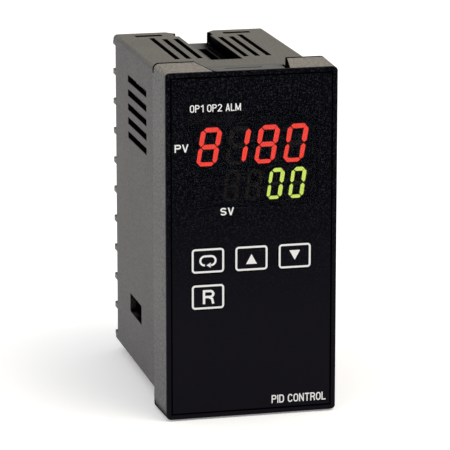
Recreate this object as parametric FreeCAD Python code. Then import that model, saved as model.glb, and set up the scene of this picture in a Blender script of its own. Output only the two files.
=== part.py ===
"""Panel-mounted PID temperature controller, one-eighth DIN size.

Frame, in millimetres: the origin is the centre of the bezel's rear face, which seats on the panel.
The front face looks along -Y, the case runs back along +Y through the panel, and +Z is up.
"""
import FreeCAD
import Part

import math
import os

V = FreeCAD.Vector

# ---------------------------------------------------------------- working values

# Longer than the part on every axis, for shapes that only cut or trim.
SPAN = 100.0

# How far fused shapes sink into each other.
BITE = 0.3

# Small rods and corners that repeat many times have flat sides.
HEAD_SIDES = 12
SHANK_SIDES = 6
CORNER_STEPS = 4

# ---------------------------------------------------------------- driving dimensions

# Bezel: the rear edge is the full one-eighth DIN size, and the sides draw in to the front.
BEZEL_W = 48.0
BEZEL_H = 96.0
BEZEL_DEPTH = 14.0
DRAFT = 0.5
REAR_CORNER_R = 1.6
FRONT_CORNER_R = 1.1

# Case: a box that passes a 45 x 92 panel cut-out.
CASE_W = 44.4
CASE_H = 90.6
WALL = 1.8
CASE_EDGE_R = 1.2
SIDE_END = 58.1
TOP_END = 60.9
REAR_WALL = (52.8, 54.2)

# Hollow spine between the terminal columns, with a crown that stands past the rear edge.
SPINE_HALF_W = 6.0
SPINE_END = 65.0
SPINE_WALL = 1.5
CROWN_STEP = 1.0

# Tongue on the case that fills the gap between the bezel's corner tabs.
TONGUE_REAR_X = 12.4
TONGUE_FRONT_X = 9.9
TONGUE_FRONT_Z = 47.5
TONGUE_RUN = 6.0
TONGUE_GAP = 0.25
PRY_HALF_W = 5.1
PRY_Y = (-5.4, -3.8)
PRY_FLOOR = 45.4

# Front cover and the film on it.
COVER_RIM = 0.8
COVER_BACK = -11.5
RIM_W = 1.3
FILM_FACE = -13.95
FILM_BACK = -13.6
FILM_GAP = 0.12
FILM_R = 0.8

# Smoked window over the displays, as its centre and size across the face.
WINDOW_X = 0.4
WINDOW_Z = 23.3
WINDOW_W = 36.4
WINDOW_H = 26.2
WINDOW_R = 1.0
WINDOW_BACK = -12.95
WINDOW_LEDGE = 0.6

# Keys: a square pattern of three columns and two rows, with one key in the second row.
KEY_W = 9.2
KEY_H = 7.0
KEY_R = 1.35
KEY_GAP = 0.25
KEY_TRAVEL = 0.5
KEY_FLANGE = 0.6
KEY_FLANGE_T = 0.8
PLUNGER_HALF = 1.6
KEY_COLUMNS = (-12.1, -0.1, 11.9)
KEY_ROWS = (-3.75, -13.75)
KEYS = {
    "menu": (KEY_COLUMNS[0], KEY_ROWS[0]),
    "up": (KEY_COLUMNS[1], KEY_ROWS[0]),
    "down": (KEY_COLUMNS[2], KEY_ROWS[0]),
    "reset": (KEY_COLUMNS[0], KEY_ROWS[1]),
}

# Press switches behind the keys, each with a square stem in a well.
STEM_FRONT = -9.3
STEM_BACK = -7.1
STEM_HALF = 1.3
STEM_GAP = 0.25
STEM_END_GAP = 0.3
SWITCH_HALF = 3.0
SWITCH_FRONT = -8.7

# Display board, its posts and ribs on the cover, and its screws.
DISPLAY_BOARD = (-5.6, -4.0)
BOARD_W = 40.4
BOARD_H = 86.4
POST_R = 2.2
POSTS = ((-18.0, 41.0), (18.0, -41.0))
RIB_W = 2.0
RIB_Z = (38.0, 42.0)
RIB_CORNERS = ((1, 1), (-1, -1))
BOARD_SCREW_FRONT = -10.5
BOARD_SCREW_BORE = -11.0
BOARD_SCREW_R = 1.0
BOARD_HEAD_R = 2.0
BOARD_HEAD_T = 1.4
BORE_GAP = 0.05
HOLE_GAP = 0.1

# Seven-segment modules: centre, digit size, bar width and pitch.
MODULE_FACE = -12.8
SLANT = math.tan(math.radians(8.0))
BAR_GAP = 0.16
BAR_DEPTH = 0.9
UPPER = {"x": 0.48, "z": 27.0, "w": 5.75, "h": 11.0, "bar": 1.45, "pitch": 7.96, "body": (33.6, 12.2)}
LOWER = {"x": 3.83, "z": 16.1, "w": 4.1, "h": 8.66, "bar": 1.1, "pitch": 6.0, "body": (25.2, 9.6)}
DIGITS = 4

# Indicator lights above the upper module: a light pipe on the foot of its lamp.
LIGHT_X = (-15.0, -10.0, -5.0)
LIGHT_Z = 34.4
LIGHT_W = 2.4
LIGHT_H = 1.5
LAMP_FRONT = -7.2
LAMP_W = 3.2
LAMP_H = 1.6

# Clamp channels along the top and the bottom of the case.
CHANNEL_HALF_W = 4.6
CHANNEL_FLOOR = 41.7
CHANNEL_START = 15.0
CHANNEL_WALL = 0.8
CHANNEL_FRONT_WALL = 1.4
CHANNEL_FLOOR_T = 1.6
CHANNEL_MOUTH = (2.4, 2.9)
PAWL_NOTCH_Y = (53.5, 58.0)
PAWL_NOTCH_DEPTH = 0.9
PAWL_NOTCH_RISE = 0.8
FLOOR_SLOT_X = (0.5, 2.8)
FLOOR_SLOT_Y = (34.0, 51.5)

# Vents.
TOP_VENT_X = (6.5, 9.7, 12.9)
TOP_VENT_W = 1.4
TOP_VENT_START = 18.2
TOP_VENT_END = (49.7, 49.9, 52.4)
CROSS_SLOT_X = (9.0, 16.8)
CROSS_SLOT_Y = (54.9, 57.3)
SIDE_VENT_Y = (16.4, 40.9)
SIDE_VENT_TOP = 36.26
SIDE_VENT_PITCH = 4.02
SIDE_VENT_H = 1.85
SIDE_VENTS = 5

# Snap window in each side wall, and the bezel's arm that hooks into it.
SNAP_Y = (24.6, 39.8)
SNAP_Z = (-31.2, -25.8)
ARM_T = 1.2
ARM_MARGIN = 0.6
ARM_ROOT_T = 1.7
ARM_ROOT_BITE = 0.5
ARM_TAPER = 7.5
ARM_END = 9.5
ARM_NOSE = 0.6
HOOK_MARGIN = 0.3
HOOK_INSET = 0.4
HOOK_FLAT = 1.2
HOOK_RAMP = 6.5
ARM_GAP = 0.3

# Boards that stand on edge in rails, one each side.
SIDE_BOARD_X = 15.2
BOARD_T = 1.6
SIDE_BOARD_Y = (-4.0, 50.5)
SIDE_BOARD_HALF_H = 42.8
SIDE_BOARD_NOTCH = (-1.5, 37.5)
RAIL_DEPTH = 1.5
RAIL_T = 1.0
HEADER_T = 2.5
HEADER_END = 1.0
HEADER_HALF_H = 12.7

# Main board, on the left. A chip is its side, its span on Y and Z, and its height.
RELAY_H = 15.5
RELAY_Y = (20.0, 40.0)
RELAY_HALF_W = 5.0
RELAY_BEVEL = 0.5
RELAYS = {"relay_output_1": 27.0, "relay_output_2": 13.0, "relay_alarm": -1.0}
CHIPS = {
    "bridge_rectifier": (1, (22.0, 29.0), (-31.0, -24.0), 3.0),
    "microcontroller": (-1, (3.0, 15.0), (-16.0, -4.0), 1.6),
    "memory_chip": (-1, (3.0, 9.0), (6.0, 11.0), 1.5),
    "input_converter": (-1, (26.0, 36.0), (-36.0, -28.0), 2.2),
    "junction_sensor": (-1, (40.0, 44.0), (-30.0, -27.0), 2.0),
}
PIN_ONE_BEVEL = 1.0
PLUG_Y = (36.0, 46.0)
PLUG_Z = (26.0, 34.6)
PLUG_H = 2.8
PLUG_WALL = 0.8

# Power board, on the right. A can is its Y, Z, radius and length.
CANS = {
    "input_capacitor": (12.0, -24.0, 6.2, 20.0),
    "output_capacitor": (24.0, 17.0, 4.0, 12.0),
    "filter_capacitor": (34.5, 17.0, 4.0, 12.0),
    "fuse_link": (34.0, -8.0, 2.6, 9.0),
}
CORE_Y = (14.0, 30.0)
CORE_HALF_H = 8.0
CORE_RISE = (2.5, 13.5)
CORE_BACK_T = 3.0
CORE_LEG_HALF = 2.2
CORE_WINDOW_END = 5.6
WINDING_RISE = 14.0
DISC_Y = (34.0, 37.6)
DISC_Z = -26.0
DISC_R = 5.0
DISC_RISE = 1.5
DISC_FOOT_RISE = 2.5
DISC_FOOT_HALF_H = 2.5
DISC_FOOT_INSET = 0.4

# Terminals: ten in a column, a column each side.
TERMINALS = 10
TERMINAL_PITCH = 8.65
TERMINAL_X = 12.0
BLOCK_FLOOR = 56.6
BARRIER_END = 62.1
BARRIER_T = 1.5
END_BARRIER_T = 1.0
BARRIER_R = 0.7
BARRIER_ROOT_X = 8.0
CONTACT_INNER_X = 8.8
CONTACT_T = 0.8
CONTACT_HALF_H = 3.3
TAIL_FRONT = 46.0
TAIL_HALF_H = 1.5
TAIL_SLOT_HALF_H = 41.2
WASHER_HALF = 3.2
WASHER_T = 0.8
HEAD_R = 2.8
HEAD_T = 1.8
SCREW_R = 1.5
SCREW_FRONT = 54.8
SCREW_POCKET = 54.6
SCREW_POCKET_GAP = 0.2

# ---------------------------------------------------------------- worked-out values

BEZEL_FRONT = -BEZEL_DEPTH
RIM_BACK = BEZEL_FRONT + COVER_RIM
CASE_X = CASE_W / 2
CASE_Z = CASE_H / 2
INNER_X = CASE_X - WALL
INNER_Z = CASE_Z - WALL
ARM_Z = (SNAP_Z[0] - ARM_MARGIN, SNAP_Z[1] + ARM_MARGIN)
CHANNEL_BED = CHANNEL_FLOOR - CHANNEL_FLOOR_T
FLANGE_BACK = COVER_BACK + KEY_FLANGE_T
WELL_BACK = STEM_BACK + KEY_TRAVEL + STEM_END_GAP
BOARD_OUTER_X = SIDE_BOARD_X + BOARD_T
CONTACT_BACK = BLOCK_FLOOR + CONTACT_T


# ---------------------------------------------------------------- shapes

def block(xs, ys, zs):
    """Box between two coordinates on each axis, given in either order."""
    low = V(min(xs), min(ys), min(zs))
    high = V(max(xs), max(ys), max(zs))
    size = high - low
    return Part.makeBox(size.x, size.y, size.z, low)


def slab(ys):
    """Slice of space between two planes across Y, wider than the part."""
    return block((-SPAN, SPAN), ys, (-SPAN, SPAN))


def across(side, low, high):
    """Two X coordinates given from the middle outwards, on the side asked."""
    return (side * low, side * high)


def rounded_wire(width, height, radius, y, x=0.0, z=0.0):
    """Closed rounded rectangle in a plane across Y."""
    half_w = width / 2
    half_h = height / 2
    bend = radius * (1 - math.sqrt(0.5))
    arcs = []
    for sx, sz in ((1, 1), (-1, 1), (-1, -1), (1, -1)):
        side = V(x + sx * half_w, y, z + sz * (half_h - radius))
        cap = V(x + sx * (half_w - radius), y, z + sz * half_h)
        middle = V(x + sx * (half_w - bend), y, z + sz * (half_h - bend))
        ends = (side, cap) if sx * sz > 0 else (cap, side)
        arcs.append((ends[0], middle, ends[1]))
    edges = []
    for index, (start, middle, end) in enumerate(arcs):
        following = arcs[(index + 1) % len(arcs)][0]
        edges.append(Part.Arc(start, middle, end).toShape())
        edges.append(Part.LineSegment(end, following).toShape())
    return Part.Wire(edges)


def pad(width, height, radius, ys, x=0.0, z=0.0):
    """Rounded rectangle carried from one Y to another."""
    face = Part.Face(rounded_wire(width, height, radius, min(ys), x, z))
    return face.extrude(V(0, abs(ys[1] - ys[0]), 0))


def prism(points, direction):
    """Polygon of points carried along a vector."""
    wire = Part.makePolygon([V(*p) for p in points] + [V(*points[0])])
    return Part.Face(wire).extrude(V(*direction))


def quarter(radius):
    """Offsets round a quarter turn in flat steps, from the first axis to the second."""
    step = math.pi / 2 / CORNER_STEPS
    return [(radius * math.cos(i * step), radius * math.sin(i * step)) for i in range(CORNER_STEPS + 1)]


def eased_block(width, height, radius, ys, x, z):
    """Block whose four edges along Y are rounded in flat steps."""
    points = []
    for sx, sz in ((1, 1), (-1, 1), (-1, -1), (1, -1)):
        offsets = quarter(radius) if sx * sz > 0 else quarter(radius)[::-1]
        for a, b in offsets:
            points.append((x + sx * (width / 2 - radius + a), min(ys), z + sz * (height / 2 - radius + b)))
    return prism(points, (0, abs(ys[1] - ys[0]), 0))


def flat_rod(x, z, radius, ys, sides):
    """Rod along Y with flat sides."""
    step = 2 * math.pi / sides
    points = []
    for index in range(sides):
        angle = step * (index + 0.5)
        points.append((x + radius * math.cos(angle), min(ys), z + radius * math.sin(angle)))
    return prism(points, (0, abs(ys[1] - ys[0]), 0))


def square_rod(x, z, half, ys):
    return block((x - half, x + half), ys, (z - half, z + half))


def underside(shape):
    """The same shape turned half round the Y axis, so that the top becomes the bottom."""
    copy = shape.copy()
    copy.rotate(V(0, 0, 0), V(0, 1, 0), 180)
    return copy


# ---------------------------------------------------------------- housing

def bezel_envelope():
    """The bezel's whole outside, drawn in from the panel to the front."""
    front = rounded_wire(BEZEL_W - 2 * DRAFT, BEZEL_H - 2 * DRAFT, FRONT_CORNER_R, BEZEL_FRONT)
    rear = rounded_wire(BEZEL_W, BEZEL_H, REAR_CORNER_R, 0.0)
    return Part.makeLoft([front, rear], True, True)


def tongue_plan(clearance, zs):
    """Prism over the tongue's outline seen from above."""
    rear = TONGUE_REAR_X + clearance
    front = TONGUE_FRONT_X + clearance
    points = (
        (-rear, TONGUE_RUN, zs[0]),
        (-rear, 0, zs[0]),
        (-front, RIM_BACK, zs[0]),
        (front, RIM_BACK, zs[0]),
        (rear, 0, zs[0]),
        (rear, TONGUE_RUN, zs[0]),
    )
    return prism(points, (0, 0, zs[1] - zs[0]))


def tongue():
    """Wedge that rises from the case's top to the cover, with a slot for prising across it."""
    root_z = CASE_Z - WALL / 2
    profile = (
        (-BEZEL_W, TONGUE_RUN, CASE_Z),
        (-BEZEL_W, RIM_BACK, TONGUE_FRONT_Z),
        (-BEZEL_W, RIM_BACK, CASE_Z),
        (-BEZEL_W, COVER_BACK, CASE_Z),
        (-BEZEL_W, COVER_BACK, root_z),
        (-BEZEL_W, TONGUE_RUN, root_z),
    )
    wedge = prism(profile, (2 * BEZEL_W, 0, 0)).common(tongue_plan(0.0, (root_z, BEZEL_H / 2)))
    return wedge.cut(block((-PRY_HALF_W, PRY_HALF_W), PRY_Y, (PRY_FLOOR, SPAN)))


def bezel_frame():
    """Sleeve round the front of the case, open at top and bottom for the tongues."""
    body = bezel_envelope().common(slab((RIM_BACK, 0)))
    socket = pad(CASE_W, CASE_H, CASE_EDGE_R, (COVER_BACK, BITE))
    mouth = block((-INNER_X, INNER_X), (BEZEL_FRONT, COVER_BACK), (-INNER_Z, INNER_Z))
    notch = tongue_plan(TONGUE_GAP, (CASE_Z, SPAN))
    body = body.cut([socket, mouth, notch, underside(notch)])
    return body.fuse([snap_arm(-1), snap_arm(1)]).removeSplitter()


def snap_arm(side):
    """Arm that runs back inside the case and hooks into the snap window."""
    outer = INNER_X
    inner = outer - ARM_T
    tip = SNAP_Y[0] + ARM_END
    profile = (
        (side * inner, COVER_BACK - ARM_ROOT_T),
        (side * (outer + ARM_ROOT_BITE), COVER_BACK - ARM_ROOT_T),
        (side * (outer + ARM_ROOT_BITE), COVER_BACK),
        (side * outer, COVER_BACK),
        (side * outer, SNAP_Y[0] + ARM_TAPER),
        (side * (outer - ARM_NOSE), tip),
        (side * inner, tip),
    )
    arm = prism([(x, y, ARM_Z[0]) for x, y in profile], (0, 0, ARM_Z[1] - ARM_Z[0]))
    root = side * (outer - HOOK_INSET)
    catch = side * (CASE_X - HOOK_INSET)
    hook_profile = (
        (root, SNAP_Y[0]),
        (catch, SNAP_Y[0]),
        (catch, SNAP_Y[0] + HOOK_FLAT),
        (root, SNAP_Y[0] + HOOK_RAMP),
    )
    hook_z = SNAP_Z[0] + HOOK_MARGIN
    hook_h = SNAP_Z[1] - HOOK_MARGIN - hook_z
    return arm.fuse(prism([(x, y, hook_z) for x, y in hook_profile], (0, 0, hook_h)))


def channel_cut():
    """Clamp channel in the case's top, with its pawl notches, flared mouth and floor slots."""
    zs = (CHANNEL_FLOOR, SPAN)
    cut = block((-CHANNEL_HALF_W, CHANNEL_HALF_W), (CHANNEL_START, SPAN), zs)
    flare, run = CHANNEL_MOUTH
    for side in (-1, 1):
        edge = side * CHANNEL_HALF_W
        notch_x = across(side, CHANNEL_HALF_W, CHANNEL_HALF_W + PAWL_NOTCH_DEPTH)
        notch = block(notch_x, PAWL_NOTCH_Y, (CHANNEL_FLOOR + PAWL_NOTCH_RISE, SPAN))
        mouth = prism(
            ((edge, TOP_END, CHANNEL_FLOOR),
             (edge, TOP_END - run, CHANNEL_FLOOR),
             (edge + side * flare, TOP_END, CHANNEL_FLOOR)),
            (0, 0, SPAN))
        slot = block(across(side, *FLOOR_SLOT_X), FLOOR_SLOT_Y, (CHANNEL_BED - BITE, SPAN))
        cut = cut.fuse([notch, mouth, slot])
    return cut


def channel_bed():
    """Floor and walls of the clamp channel, which stand down into the case."""
    half = CHANNEL_HALF_W + CHANNEL_WALL
    zs = (CHANNEL_BED, CASE_Z - WALL / 2)
    bed = block((-half, half), (CHANNEL_START - CHANNEL_FRONT_WALL, REAR_WALL[0]), zs)
    tail = block((-SPINE_HALF_W, SPINE_HALF_W), (REAR_WALL[0], TOP_END), zs)
    return bed.fuse(tail)


def top_vents():
    """Long vents beside the channel and a cross slot over each terminal column."""
    zs = (INNER_Z - BITE, SPAN)
    cuts = []
    for side in (-1, 1):
        for x, end in zip(TOP_VENT_X, TOP_VENT_END):
            xs = across(side, x - TOP_VENT_W / 2, x + TOP_VENT_W / 2)
            cuts.append(block(xs, (TOP_VENT_START, end), zs))
        cuts.append(block(across(side, *CROSS_SLOT_X), CROSS_SLOT_Y, zs))
    return Part.makeCompound(cuts)


def side_openings():
    """Vents and snap window through both side walls."""
    cuts = []
    for side in (-1, 1):
        xs = across(side, INNER_X - BITE, SPAN)
        for index in range(SIDE_VENTS):
            z = SIDE_VENT_TOP - index * SIDE_VENT_PITCH
            cuts.append(block(xs, SIDE_VENT_Y, (z - SIDE_VENT_H / 2, z + SIDE_VENT_H / 2)))
        cuts.append(block(xs, SNAP_Y, SNAP_Z))
    return Part.makeCompound(cuts)


def rails():
    """Grooves that hold the upright boards by their top and bottom edges."""
    parts = []
    for side in (-1, 1):
        for low in (SIDE_BOARD_X - RAIL_T, BOARD_OUTER_X):
            for end in (-1, 1):
                zs = (end * (INNER_Z - RAIL_DEPTH), end * (INNER_Z + BITE))
                parts.append(block(across(side, low, low + RAIL_T), (0, REAR_WALL[0]), zs))
    return parts


def spine():
    """Column between the terminal columns, with its crown."""
    xs = (-SPINE_HALF_W, SPINE_HALF_W)
    column_z = CHANNEL_BED + BITE
    crown_z = CHANNEL_BED - CROWN_STEP
    column = block(xs, (REAR_WALL[0], TOP_END), (-column_z, column_z))
    return column.fuse(block(xs, (REAR_WALL[0], SPINE_END), (-crown_z, crown_z)))


def spine_hollow():
    half_w = SPINE_HALF_W - SPINE_WALL
    half_h = CHANNEL_BED - 2 * SPINE_WALL
    return block((-half_w, half_w), (REAR_WALL[0] - BITE, SPINE_END - SPINE_WALL), (-half_h, half_h))


def case_shell():
    """Moulded box, open at the front, with a wall before the terminals."""
    shell = pad(CASE_W, CASE_H, CASE_EDGE_R, (COVER_BACK, TOP_END))
    shell = shell.cut(block((-INNER_X, INNER_X), (COVER_BACK - BITE, TOP_END + BITE), (-INNER_Z, INNER_Z)))
    wall = block((-INNER_X - BITE, INNER_X + BITE), REAR_WALL, (-INNER_Z - BITE, INNER_Z + BITE))
    parts = [wall, spine(), tongue(), underside(tongue()), channel_bed(), underside(channel_bed())]
    shell = shell.fuse(parts + rails())
    cuts = [channel_cut(), underside(channel_cut()), top_vents(), underside(top_vents())]
    cuts += [side_openings(), spine_hollow()]
    for side in (-1, 1):
        gate = block(across(side, INNER_X, SPAN), (SIDE_END, SPAN), (-INNER_Z, INNER_Z))
        cuts += [gate, tail_slot(side, (REAR_WALL[0] - BITE, REAR_WALL[1] + BITE))]
    return shell.cut(cuts).removeSplitter()


# ---------------------------------------------------------------- front

def key_aperture(x, z):
    """Clearance round a key, through the film and the cover."""
    return eased_block(KEY_W + 2 * KEY_GAP, KEY_H + 2 * KEY_GAP, KEY_R + KEY_GAP,
                       (BEZEL_FRONT - BITE, COVER_BACK + BITE), x, z)


def front_cover():
    """Black front moulding: a rim, a boss that locates in the bezel, and posts for the board."""
    rim = bezel_envelope().common(slab((BEZEL_FRONT, RIM_BACK)))
    boss = block((-INNER_X, INNER_X), (RIM_BACK, COVER_BACK), (-INNER_Z, INNER_Z))
    recess = pad(BEZEL_W - 2 * DRAFT - 2 * RIM_W, BEZEL_H - 2 * DRAFT - 2 * RIM_W, FILM_R,
                 (BEZEL_FRONT - BITE, FILM_BACK))
    seat = pad(WINDOW_W, WINDOW_H, WINDOW_R, (FILM_BACK - BITE, WINDOW_BACK), WINDOW_X, WINDOW_Z)
    opening_x = WINDOW_W / 2 - WINDOW_LEDGE
    opening_z = WINDOW_H / 2 - WINDOW_LEDGE
    opening = block((WINDOW_X - opening_x, WINDOW_X + opening_x), (FILM_BACK, COVER_BACK + BITE),
                    (WINDOW_Z - opening_z, WINDOW_Z + opening_z))
    cuts = [recess, seat, opening] + [key_aperture(x, z) for x, z in KEYS.values()]
    for side in (-1, 1):
        cuts.append(block(across(side, INNER_X - ARM_T, SPAN), (RIM_BACK, 0), ARM_Z))
    cover = rim.fuse(boss).cut(cuts)
    reach = (COVER_BACK - BITE, DISPLAY_BOARD[0])
    supports = [flat_rod(x, z, POST_R, reach, HEAD_SIDES) for x, z in POSTS]
    for sx, sz in RIB_CORNERS:
        supports.append(block(across(sx, INNER_X - RIB_W, INNER_X), reach, across(sz, *RIB_Z)))
    bores = [flat_rod(x, z, BOARD_SCREW_R + BORE_GAP, (BOARD_SCREW_BORE, 0), SHANK_SIDES) for x, z in POSTS]
    return cover.fuse(supports).cut(bores).removeSplitter()


def front_film():
    """Printed film in the cover's recess, open at the window and the keys."""
    inset = 2 * (RIM_W + FILM_GAP)
    film = pad(BEZEL_W - 2 * DRAFT - inset, BEZEL_H - 2 * DRAFT - inset, FILM_R - FILM_GAP,
               (FILM_FACE, FILM_BACK))
    window = pad(WINDOW_W, WINDOW_H, WINDOW_R, (FILM_FACE - BITE, FILM_BACK + BITE), WINDOW_X, WINDOW_Z)
    return film.cut([window] + [key_aperture(x, z) for x, z in KEYS.values()])


def display_window():
    return pad(WINDOW_W, WINDOW_H, WINDOW_R, (FILM_FACE, WINDOW_BACK), WINDOW_X, WINDOW_Z)


def key_cap(x, z):
    """Key with a flange behind the cover that stops it, and a plunger on the switch."""
    cap = pad(KEY_W, KEY_H, KEY_R, (FILM_FACE, COVER_BACK), x, z)
    reach_x = KEY_W / 2 + KEY_GAP + KEY_FLANGE
    reach_z = KEY_H / 2 + KEY_GAP + KEY_FLANGE
    flange = block((x - reach_x, x + reach_x), (COVER_BACK, FLANGE_BACK), (z - reach_z, z + reach_z))
    plunger = square_rod(x, z, PLUNGER_HALF, (FLANGE_BACK, STEM_FRONT))
    return cap.fuse([flange, plunger]).removeSplitter()


def switch_body(x, z):
    """Tact switch on the display board, with a square well for its stem."""
    body = square_rod(x, z, SWITCH_HALF, (SWITCH_FRONT, DISPLAY_BOARD[0]))
    return body.cut(square_rod(x, z, STEM_HALF + STEM_GAP, (SWITCH_FRONT - BITE, WELL_BACK)))


def switch_stem(x, z):
    return square_rod(x, z, STEM_HALF, (STEM_FRONT, STEM_BACK))


def display_board():
    """Board behind the cover, notched for the snap arms and drilled for its screws."""
    board = block((-BOARD_W / 2, BOARD_W / 2), DISPLAY_BOARD, (-BOARD_H / 2, BOARD_H / 2))
    through = (DISPLAY_BOARD[0] - BITE, DISPLAY_BOARD[1] + BITE)
    cuts = [flat_rod(x, z, BOARD_SCREW_R + HOLE_GAP, through, SHANK_SIDES) for x, z in POSTS]
    for side in (-1, 1):
        cuts.append(block(across(side, INNER_X - ARM_T - ARM_GAP, SPAN), through,
                          (ARM_Z[0] - ARM_GAP, ARM_Z[1] + ARM_GAP)))
    return board.cut(cuts)


def board_screws():
    """Two pan-head screws that hold the display board to the cover's posts."""
    screws = []
    rear = DISPLAY_BOARD[1]
    for x, z in POSTS:
        head = flat_rod(x, z, BOARD_HEAD_R, (rear, rear + BOARD_HEAD_T), HEAD_SIDES)
        shank = flat_rod(x, z, BOARD_SCREW_R, (BOARD_SCREW_FRONT, rear), SHANK_SIDES)
        screws.append(head.fuse(shank))
    return Part.makeCompound(screws)


# ---------------------------------------------------------------- displays

def bar_outline(length, width):
    """Pointed bar about its own centre, along the first axis."""
    a = length / 2
    b = width / 2
    return ((-a, 0), (-a + b, b), (a - b, b), (a, 0), (a - b, -b), (-a + b, -b))


def digit_bars(spec):
    """The seven bars of one digit, each as (offset across, offset up, upright, length)."""
    half_w = (spec["w"] - spec["bar"]) / 2
    half_h = (spec["h"] - spec["bar"]) / 2
    flat = 2 * half_w - BAR_GAP
    tall = half_h - BAR_GAP
    bars = [(0, up, False, flat) for up in (half_h, 0, -half_h)]
    for side in (-half_w, half_w):
        bars += [(side, up, True, tall) for up in (half_h / 2, -half_h / 2)]
    return bars


def segments(spec):
    """Diffuser bars of a whole module, each a separate solid let into its face."""
    bars = []
    first = -(DIGITS - 1) / 2
    for digit in range(DIGITS):
        digit_x = spec["x"] + (first + digit) * spec["pitch"]
        for offset, up, upright, length in digit_bars(spec):
            points = []
            for u, v in bar_outline(length, spec["bar"]):
                dx, dz = (v, u) if upright else (u, v)
                rise = up + dz
                points.append((digit_x + offset + dx + rise * SLANT, MODULE_FACE, spec["z"] + rise))
            bars.append(prism(points, (0, BAR_DEPTH, 0)))
    return Part.makeCompound(bars)


def module_body(spec):
    half_w, half_h = (size / 2 for size in spec["body"])
    body = block((spec["x"] - half_w, spec["x"] + half_w), (MODULE_FACE, DISPLAY_BOARD[0]),
                 (spec["z"] - half_h, spec["z"] + half_h))
    return body.cut(segments(spec))


def indicator_light(x):
    """Light pipe that stands from its lamp on the board to the window."""
    pipe = block((x - LIGHT_W / 2, x + LIGHT_W / 2), (MODULE_FACE, LAMP_FRONT),
                 (LIGHT_Z - LIGHT_H / 2, LIGHT_Z + LIGHT_H / 2))
    lamp = block((x - LAMP_W / 2, x + LAMP_W / 2), (LAMP_FRONT, DISPLAY_BOARD[0]),
                 (LIGHT_Z - LAMP_H / 2, LIGHT_Z + LAMP_H / 2))
    return pipe.fuse(lamp)


# ---------------------------------------------------------------- boards

def side_board(side):
    """Upright board, notched at its front corners behind the display board."""
    board = block(across(side, SIDE_BOARD_X, BOARD_OUTER_X), SIDE_BOARD_Y,
                  (-SIDE_BOARD_HALF_H, SIDE_BOARD_HALF_H))
    notch_y, notch_z = SIDE_BOARD_NOTCH
    return board.cut([block((-SPAN, SPAN), (-SPAN, notch_y), across(end, notch_z, SPAN)) for end in (-1, 1)])


def board_header(side):
    """Right-angle header between the display board and an upright board."""
    return block(across(side, SIDE_BOARD_X - HEADER_T, SIDE_BOARD_X), (SIDE_BOARD_Y[0], HEADER_END),
                 (-HEADER_HALF_H, HEADER_HALF_H))


def relay(z):
    """Sealed relay with bevelled long edges, inside the main board."""
    body = block((-SIDE_BOARD_X, RELAY_H - SIDE_BOARD_X), RELAY_Y, (z - RELAY_HALF_W, z + RELAY_HALF_W))
    long_edges = [edge for edge in body.Edges if edge.BoundBox.XLength > RELAY_H / 2]
    return body.makeChamfer(RELAY_BEVEL, long_edges)


def chip(side, ys, zs, height):
    """Flat integrated circuit on the inner face of a board, with a pin-one bevel."""
    root = side * SIDE_BOARD_X
    points = (
        (root, ys[0], zs[0]),
        (root, ys[1], zs[0]),
        (root, ys[1], zs[1]),
        (root, ys[0] + PIN_ONE_BEVEL, zs[1]),
        (root, ys[0], zs[1] - PIN_ONE_BEVEL),
    )
    return prism(points, (-side * height, 0, 0))


def inner_plug():
    """Shrouded plug on the outer face of the main board, behind the side vents."""
    body = block((-BOARD_OUTER_X, -BOARD_OUTER_X - PLUG_H), PLUG_Y, PLUG_Z)
    well = block((-BOARD_OUTER_X - PLUG_WALL, -SPAN), (PLUG_Y[0] + PLUG_WALL, PLUG_Y[1] - PLUG_WALL),
                 (PLUG_Z[0] + PLUG_WALL, PLUG_Z[1] - PLUG_WALL))
    return body.cut(well)


def can(y, z, radius, length):
    """Round can or tube that stands inwards from the power board."""
    return Part.makeCylinder(radius, length, V(SIDE_BOARD_X - length, y, z), V(1, 0, 0))


def transformer_core():
    """Two E halves of ferrite that close round the bobbin."""
    low, high = CORE_RISE
    core = block((SIDE_BOARD_X - high, SIDE_BOARD_X - low), CORE_Y, (-CORE_HALF_H, CORE_HALF_H))
    window_y = (CORE_Y[0] + CORE_BACK_T, CORE_Y[1] - CORE_BACK_T)
    return core.cut([block((-SPAN, SPAN), window_y, across(end, CORE_LEG_HALF, CORE_WINDOW_END))
                     for end in (-1, 1)])


def transformer_winding():
    """Wound bobbin on the core's middle leg, with its foot on the board."""
    low, high = CORE_RISE
    window_y = (CORE_Y[0] + CORE_BACK_T, CORE_Y[1] - CORE_BACK_T)
    bobbin = block((SIDE_BOARD_X - WINDING_RISE, SIDE_BOARD_X), window_y, (-CORE_WINDOW_END, CORE_WINDOW_END))
    return bobbin.cut(block((SIDE_BOARD_X - high, SIDE_BOARD_X - low), window_y,
                            (-CORE_LEG_HALF, CORE_LEG_HALF)))


def surge_disc():
    """Disc that stands on its edge from the power board."""
    thickness = DISC_Y[1] - DISC_Y[0]
    disc = Part.makeCylinder(DISC_R, thickness, V(SIDE_BOARD_X - DISC_R - DISC_RISE, DISC_Y[0], DISC_Z),
                             V(0, 1, 0))
    foot = block((SIDE_BOARD_X - DISC_FOOT_RISE, SIDE_BOARD_X),
                 (DISC_Y[0] + DISC_FOOT_INSET, DISC_Y[1] - DISC_FOOT_INSET),
                 (DISC_Z - DISC_FOOT_HALF_H, DISC_Z + DISC_FOOT_HALF_H))
    return disc.fuse(foot)


# ---------------------------------------------------------------- terminals

def terminal_heights():
    return [(index - (TERMINALS - 1) / 2) * TERMINAL_PITCH for index in range(TERMINALS)]


def tail_slot(side, ys):
    """Slot that the contacts' tails pass through on their way to a board."""
    xs = across(side, SIDE_BOARD_X - CONTACT_T - HOLE_GAP, SIDE_BOARD_X + HOLE_GAP)
    return block(xs, ys, (-TAIL_SLOT_HALF_H, TAIL_SLOT_HALF_H))


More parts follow.
